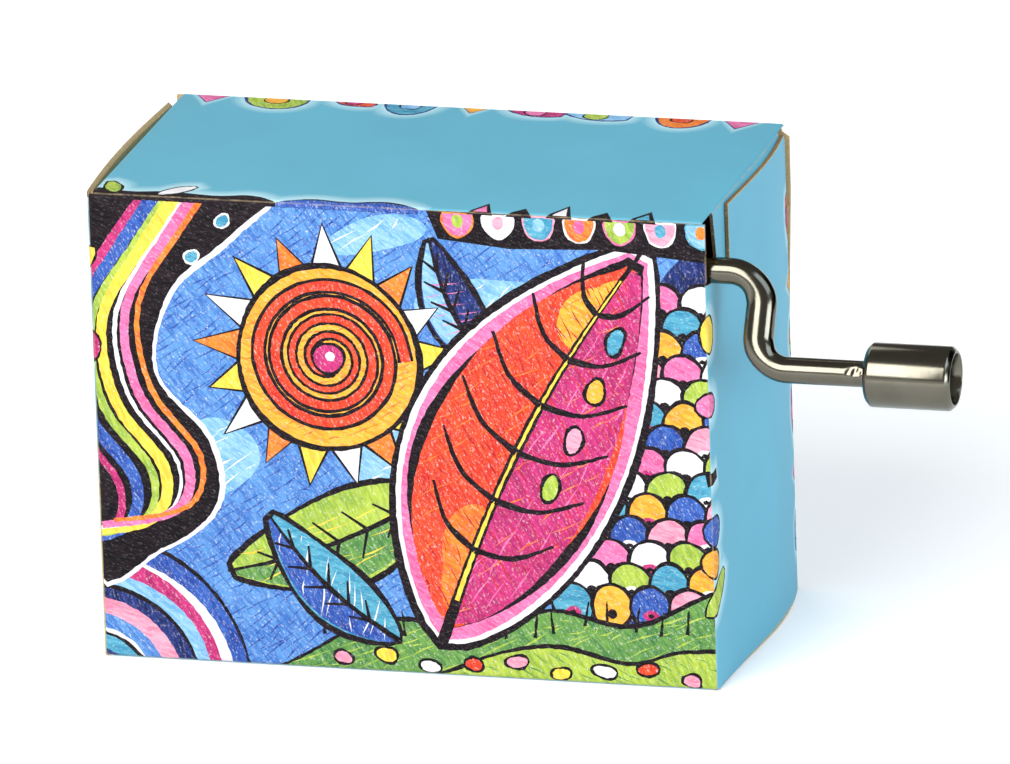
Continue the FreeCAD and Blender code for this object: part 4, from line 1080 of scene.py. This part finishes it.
def dress_frame():
    """Give the solids that stay as they are their own materials."""
    for names, look in (
            ("bedplate", metal("cast_zinc", "b9bcc0", 0.42, (3.0, 3.0, 3.0), 0.03, 0.1, 0.2)),
            ("comb", metal("comb_steel", "c9c6bf", 0.24, (1.0, 22.0, 1.0), 0.003, 0.12)),
            ("comb_weights", metal("lead", "6f7276", 0.6, (6.0, 6.0, 6.0), 0.02, 0.15, 0.2)),
            ("comb_screws bracket_screws",
             metal("screw_steel", "a9adb3", 0.28, (14.0, 14.0, 2.0), 0.004, 0.15)),
            ("inner_shaft_bracket outer_shaft_bracket shaft_retaining_ring",
             metal("nickel_steel", "c4c0b6", 0.25, (2.0, 16.0, 2.0), 0.003, 0.1)),
            ("worm_wheel", plastic("white_nylon", "ece9df", 0.42)),
            ("pin_cylinder cylinder_front_cap cylinder_rear_cap arbor_bushes",
             metal("brass", "d3ad5c", 0.26, (1.0, 26.0, 1.0), 0.004, 0.14)),
            ("cylinder_arbor", metal("arbor_steel", "b7b8ba", 0.22, (2.0, 22.0, 2.0), 0.003, 0.1))):
        for name in names.split():
            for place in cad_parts[name].material_slots:
                place.material = look


# floor, light and camera

MIDDLE = Vector((0.0, 0.0, 0.025))
FLOOR_Z, FLOOR_RIM, FLOOR_LIFT = -0.00003, 0.3, 0.3
# Each wall's first and second corner and its height
FLAG_WALLS = (((0.34, -0.085), (0.33, 0.06), 0.12), ((0.33, 0.06), (0.2, 0.3), 0.3))
# Azimuth and elevation in degrees, distance, width, height, radiance and, for some, a tint
LAMPS = {
    "key_lamp": (-18, 35, 0.7, 0.37, 0.5, 8.4),
    "side_lamp": (78, 46, 0.7, 0.46, 0.42, 2.45, (0.84, 1.03, 1.26)),
    "strip_lamp": (62, 9, 0.6, 0.32, 0.18, 7.0, (0.92, 1.0, 1.1)),
    "rear_lamp": (-135, 42, 0.8, 0.5, 0.4, 2.0),
}
# The photograph's view: angles in degrees, and pixels
VIEW_AZIMUTH, VIEW_ELEVATION, VIEW_ROLL = 15.61, 18.2, radians(-1.91)
CAMERA_AWAY = 2.0
PIXELS_PER_METRE, IMAGE_WIDE = 9757.0, 1010
BOX_SHOWS_AT, IMAGE_MIDDLE = (445.8, 389.7), (505.0, 382.0)


def add_stage(name, vertices, polygons, material):
    """Add a floor or backdrop."""
    item = add_object(name, make_mesh(name, vertices, polygons, [material], 180))
    return item


def make_floor():
    """A wide pale floor with a low rim, which shows as white and keeps the object's shadow."""
    material, nodes, shader = new_material("floor_paper")
    place = nodes.own()
    tone = nodes.span(nodes.noise(place, 8.0), 0.3, 0.7, 0.86, 0.89)
    ray = nodes.add("LightPath").outputs
    seen = nodes.math("ADD", ray["Is Camera Ray"], ray["Is Glossy Ray"])
    seen = nodes.math("ADD", seen, ray["Is Transmission Ray"], clamp=True)
    away = nodes.add("VectorMath", {0: place}, operation="LENGTH").outputs["Value"]
    nodes.fill(shader, {
        "Base Color": nodes.add("CombineColor", {0: tone, 1: tone, 2: tone}).outputs[0],
        "Roughness": 0.9, "Specular IOR Level": 0.0, "Emission Color": (1, 1, 1, 1),
        "Emission Strength": nodes.math("MULTIPLY", seen, nodes.span(away, 0.06, 0.6, FLOOR_LIFT, 1.0))})
    radii = [0.05 * 1.35 ** i for i in range(14)]
    parts = 48
    vertices, polygons = [(0.0, 0.0, FLOOR_Z)], []
    for level, radius in enumerate(radii + radii[-1:]):
        height = FLOOR_RIM if level == len(radii) else FLOOR_Z
        outer = 1 + level * parts
        for k in range(parts):
            m = (k + 1) % parts
            vertices.append((radius * cos(tau * k / parts), radius * sin(tau * k / parts), height))
            inner = (outer - parts + m, outer - parts + k) if level else (0,)
            polygons.append((*inner, outer + k, outer + m))
    add_stage("floor", vertices, polygons, material)


def make_flag():
    """A black studio card behind the right-hand side, which gives the metal its dark edges."""
    material, nodes, shader = new_material("flag_felt")
    nap = nodes.noise(nodes.own(), 300.0)
    nodes.fill(shader, {"Base Color": nodes.mix(nap, linear("060606"), linear("141414")),
                        "Roughness": 0.95, "Specular IOR Level": 0.0})
    vertices, polygons = [], []
    for start, end, tall in FLAG_WALLS:
        polygons.append(tuple(range(len(vertices), len(vertices) + 4)))
        vertices += [(*start, 0.0), (*end, 0.0), (*end, tall), (*start, tall)]
    flag = add_stage("flag", vertices, polygons, material)
    flag.visible_camera = flag.visible_diffuse = flag.visible_shadow = False


def direction(azimuth, elevation):
    """The way from the object to where two angles in degrees point, counted from the front to the right."""
    azimuth, elevation = radians(azimuth), radians(elevation)
    return Vector((sin(azimuth) * cos(elevation), -cos(azimuth) * cos(elevation), sin(elevation)))


def soft_box(name, azimuth, elevation, away, wide, tall, radiance, tint=(1.0, 1.0, 1.0)):
    """A rectangular studio lamp of a given radiance, aimed at the object."""
    toward = direction(azimuth, elevation)
    lamp = bpy.data.lights.new(name, "AREA")
    lamp.shape = "RECTANGLE"
    lamp.size, lamp.size_y = wide, tall
    lamp.energy = radiance * pi * wide * tall
    lamp.color = tint
    holder = add_object(name, lamp)
    holder.location = MIDDLE + toward * away
    holder.rotation_euler = toward.to_track_quat("Z", "Y").to_euler()
    holder.visible_camera = False


def make_light():
    """The lamps and a dim room that is a little brighter in front."""
    world = bpy.data.worlds.new("studio")
    bpy.context.scene.world = world
    world.use_nodes = True
    nodes = Nodes(world.node_tree)
    split = nodes.add("SeparateXYZ", {0: nodes.add("TexCoord").outputs["Generated"]})
    front = nodes.span(split.outputs["Y"], 0.7, -0.7)
    nodes.fill(world.node_tree.nodes["Background"],
               {"Color": linear("f3efe6"), "Strength": nodes.span(front, 0.0, 1.0, 0.2, 0.3)})
    for name, values in LAMPS.items():
        soft_box(name, *values)


def make_camera():
    """The photograph's view: a long lens from the right of the front, a little above."""
    back = direction(VIEW_AZIMUTH, VIEW_ELEVATION)
    right = Z.cross(back).normalized()
    up = back.cross(right)
    c, s = cos(VIEW_ROLL), sin(VIEW_ROLL)
    right, up = c * right + s * up, c * up - s * right
    target = (MIDDLE + right * (IMAGE_MIDDLE[0] - BOX_SHOWS_AT[0]) / PIXELS_PER_METRE
              + up * (BOX_SHOWS_AT[1] - IMAGE_MIDDLE[1]) / PIXELS_PER_METRE)
    camera = bpy.data.cameras.new("camera")
    camera.sensor_width = 36.0
    camera.lens = PIXELS_PER_METRE * CAMERA_AWAY / IMAGE_WIDE * camera.sensor_width
    camera.clip_start, camera.clip_end = 0.05, 20.0
    holder = add_object("camera", camera)
    turn = Matrix((right, up, back)).transposed().to_4x4()
    holder.matrix_world = Matrix.Translation(target + back * CAMERA_AWAY) @ turn
    bpy.context.scene.camera = holder


def main():
    """Make everything."""
    bpy.context.scene.view_settings.view_transform = "Standard"
    make_camera()
    make_light()
    make_floor()
    make_flag()
    group = crayon_group()
    materials = {name: ink_material(name, group) for name in INKS}
    materials["cyan"] = flat_material("cyan")
    for step, name in enumerate(HALO_INKS):
        materials[name] = flat_material(name, (step + 1) / len(HALO_INKS))
    materials["raw"] = card_material("raw_card", "dec18b", layered=False)
    # This pale card colour is real wear on the crease and also the painted shade and reflection line along
    # the right end's bottom edge
    materials["bare"] = card_material("rubbed_card_and_painted_shade_line", "d2bf88", layered=False)
    materials["cut"] = card_material("cut_card", "dfc08c")
    # The dark edge colour is painted shade: the cut edges in the notch and of the dust flaps are as dark as
    # the shadow they lie in
    materials["shade"] = card_material("painted_shade_edge", "35271f")
    # The dark brown core colour is partly the card's core and partly painted shade of the gap between the
    # right end and its dust flap
    materials["core"] = card_material("card_core_and_gap_shade", "7d5a2c")
    draw_all()
    plan_main_panels()
    # The right end's cut edges take the dark core colour, which also paints the shade in the gap along its
    # top
    plan_end(1, "right", ("carton",) * 4, bow=RIGHT_BOW, edge="core")
    plan_end(-1, "left", ("left_end", "left_tuck", "left_top_dust", "left_bottom_dust"), bow=LEFT_BOW,
             bevel=LEFT_BEVEL)
    for name in PANELS:
        panel_mesh(name, materials)
    make_crank(metal("nickel_wire", "6a675c", 0.16, (0.6, 5.0, 5.0), 0.003, 0.08, 0.06))
    make_knob(metal("nickel_knob", "6d6a5f", 0.17, (14.0, 0.4, 0.4), 0.006, 0.08, 0.08))
    make_pad(foam("white_foam", "e4e2dc"))
    make_left_crease(materials["raw"])
    dress_frame()


main()
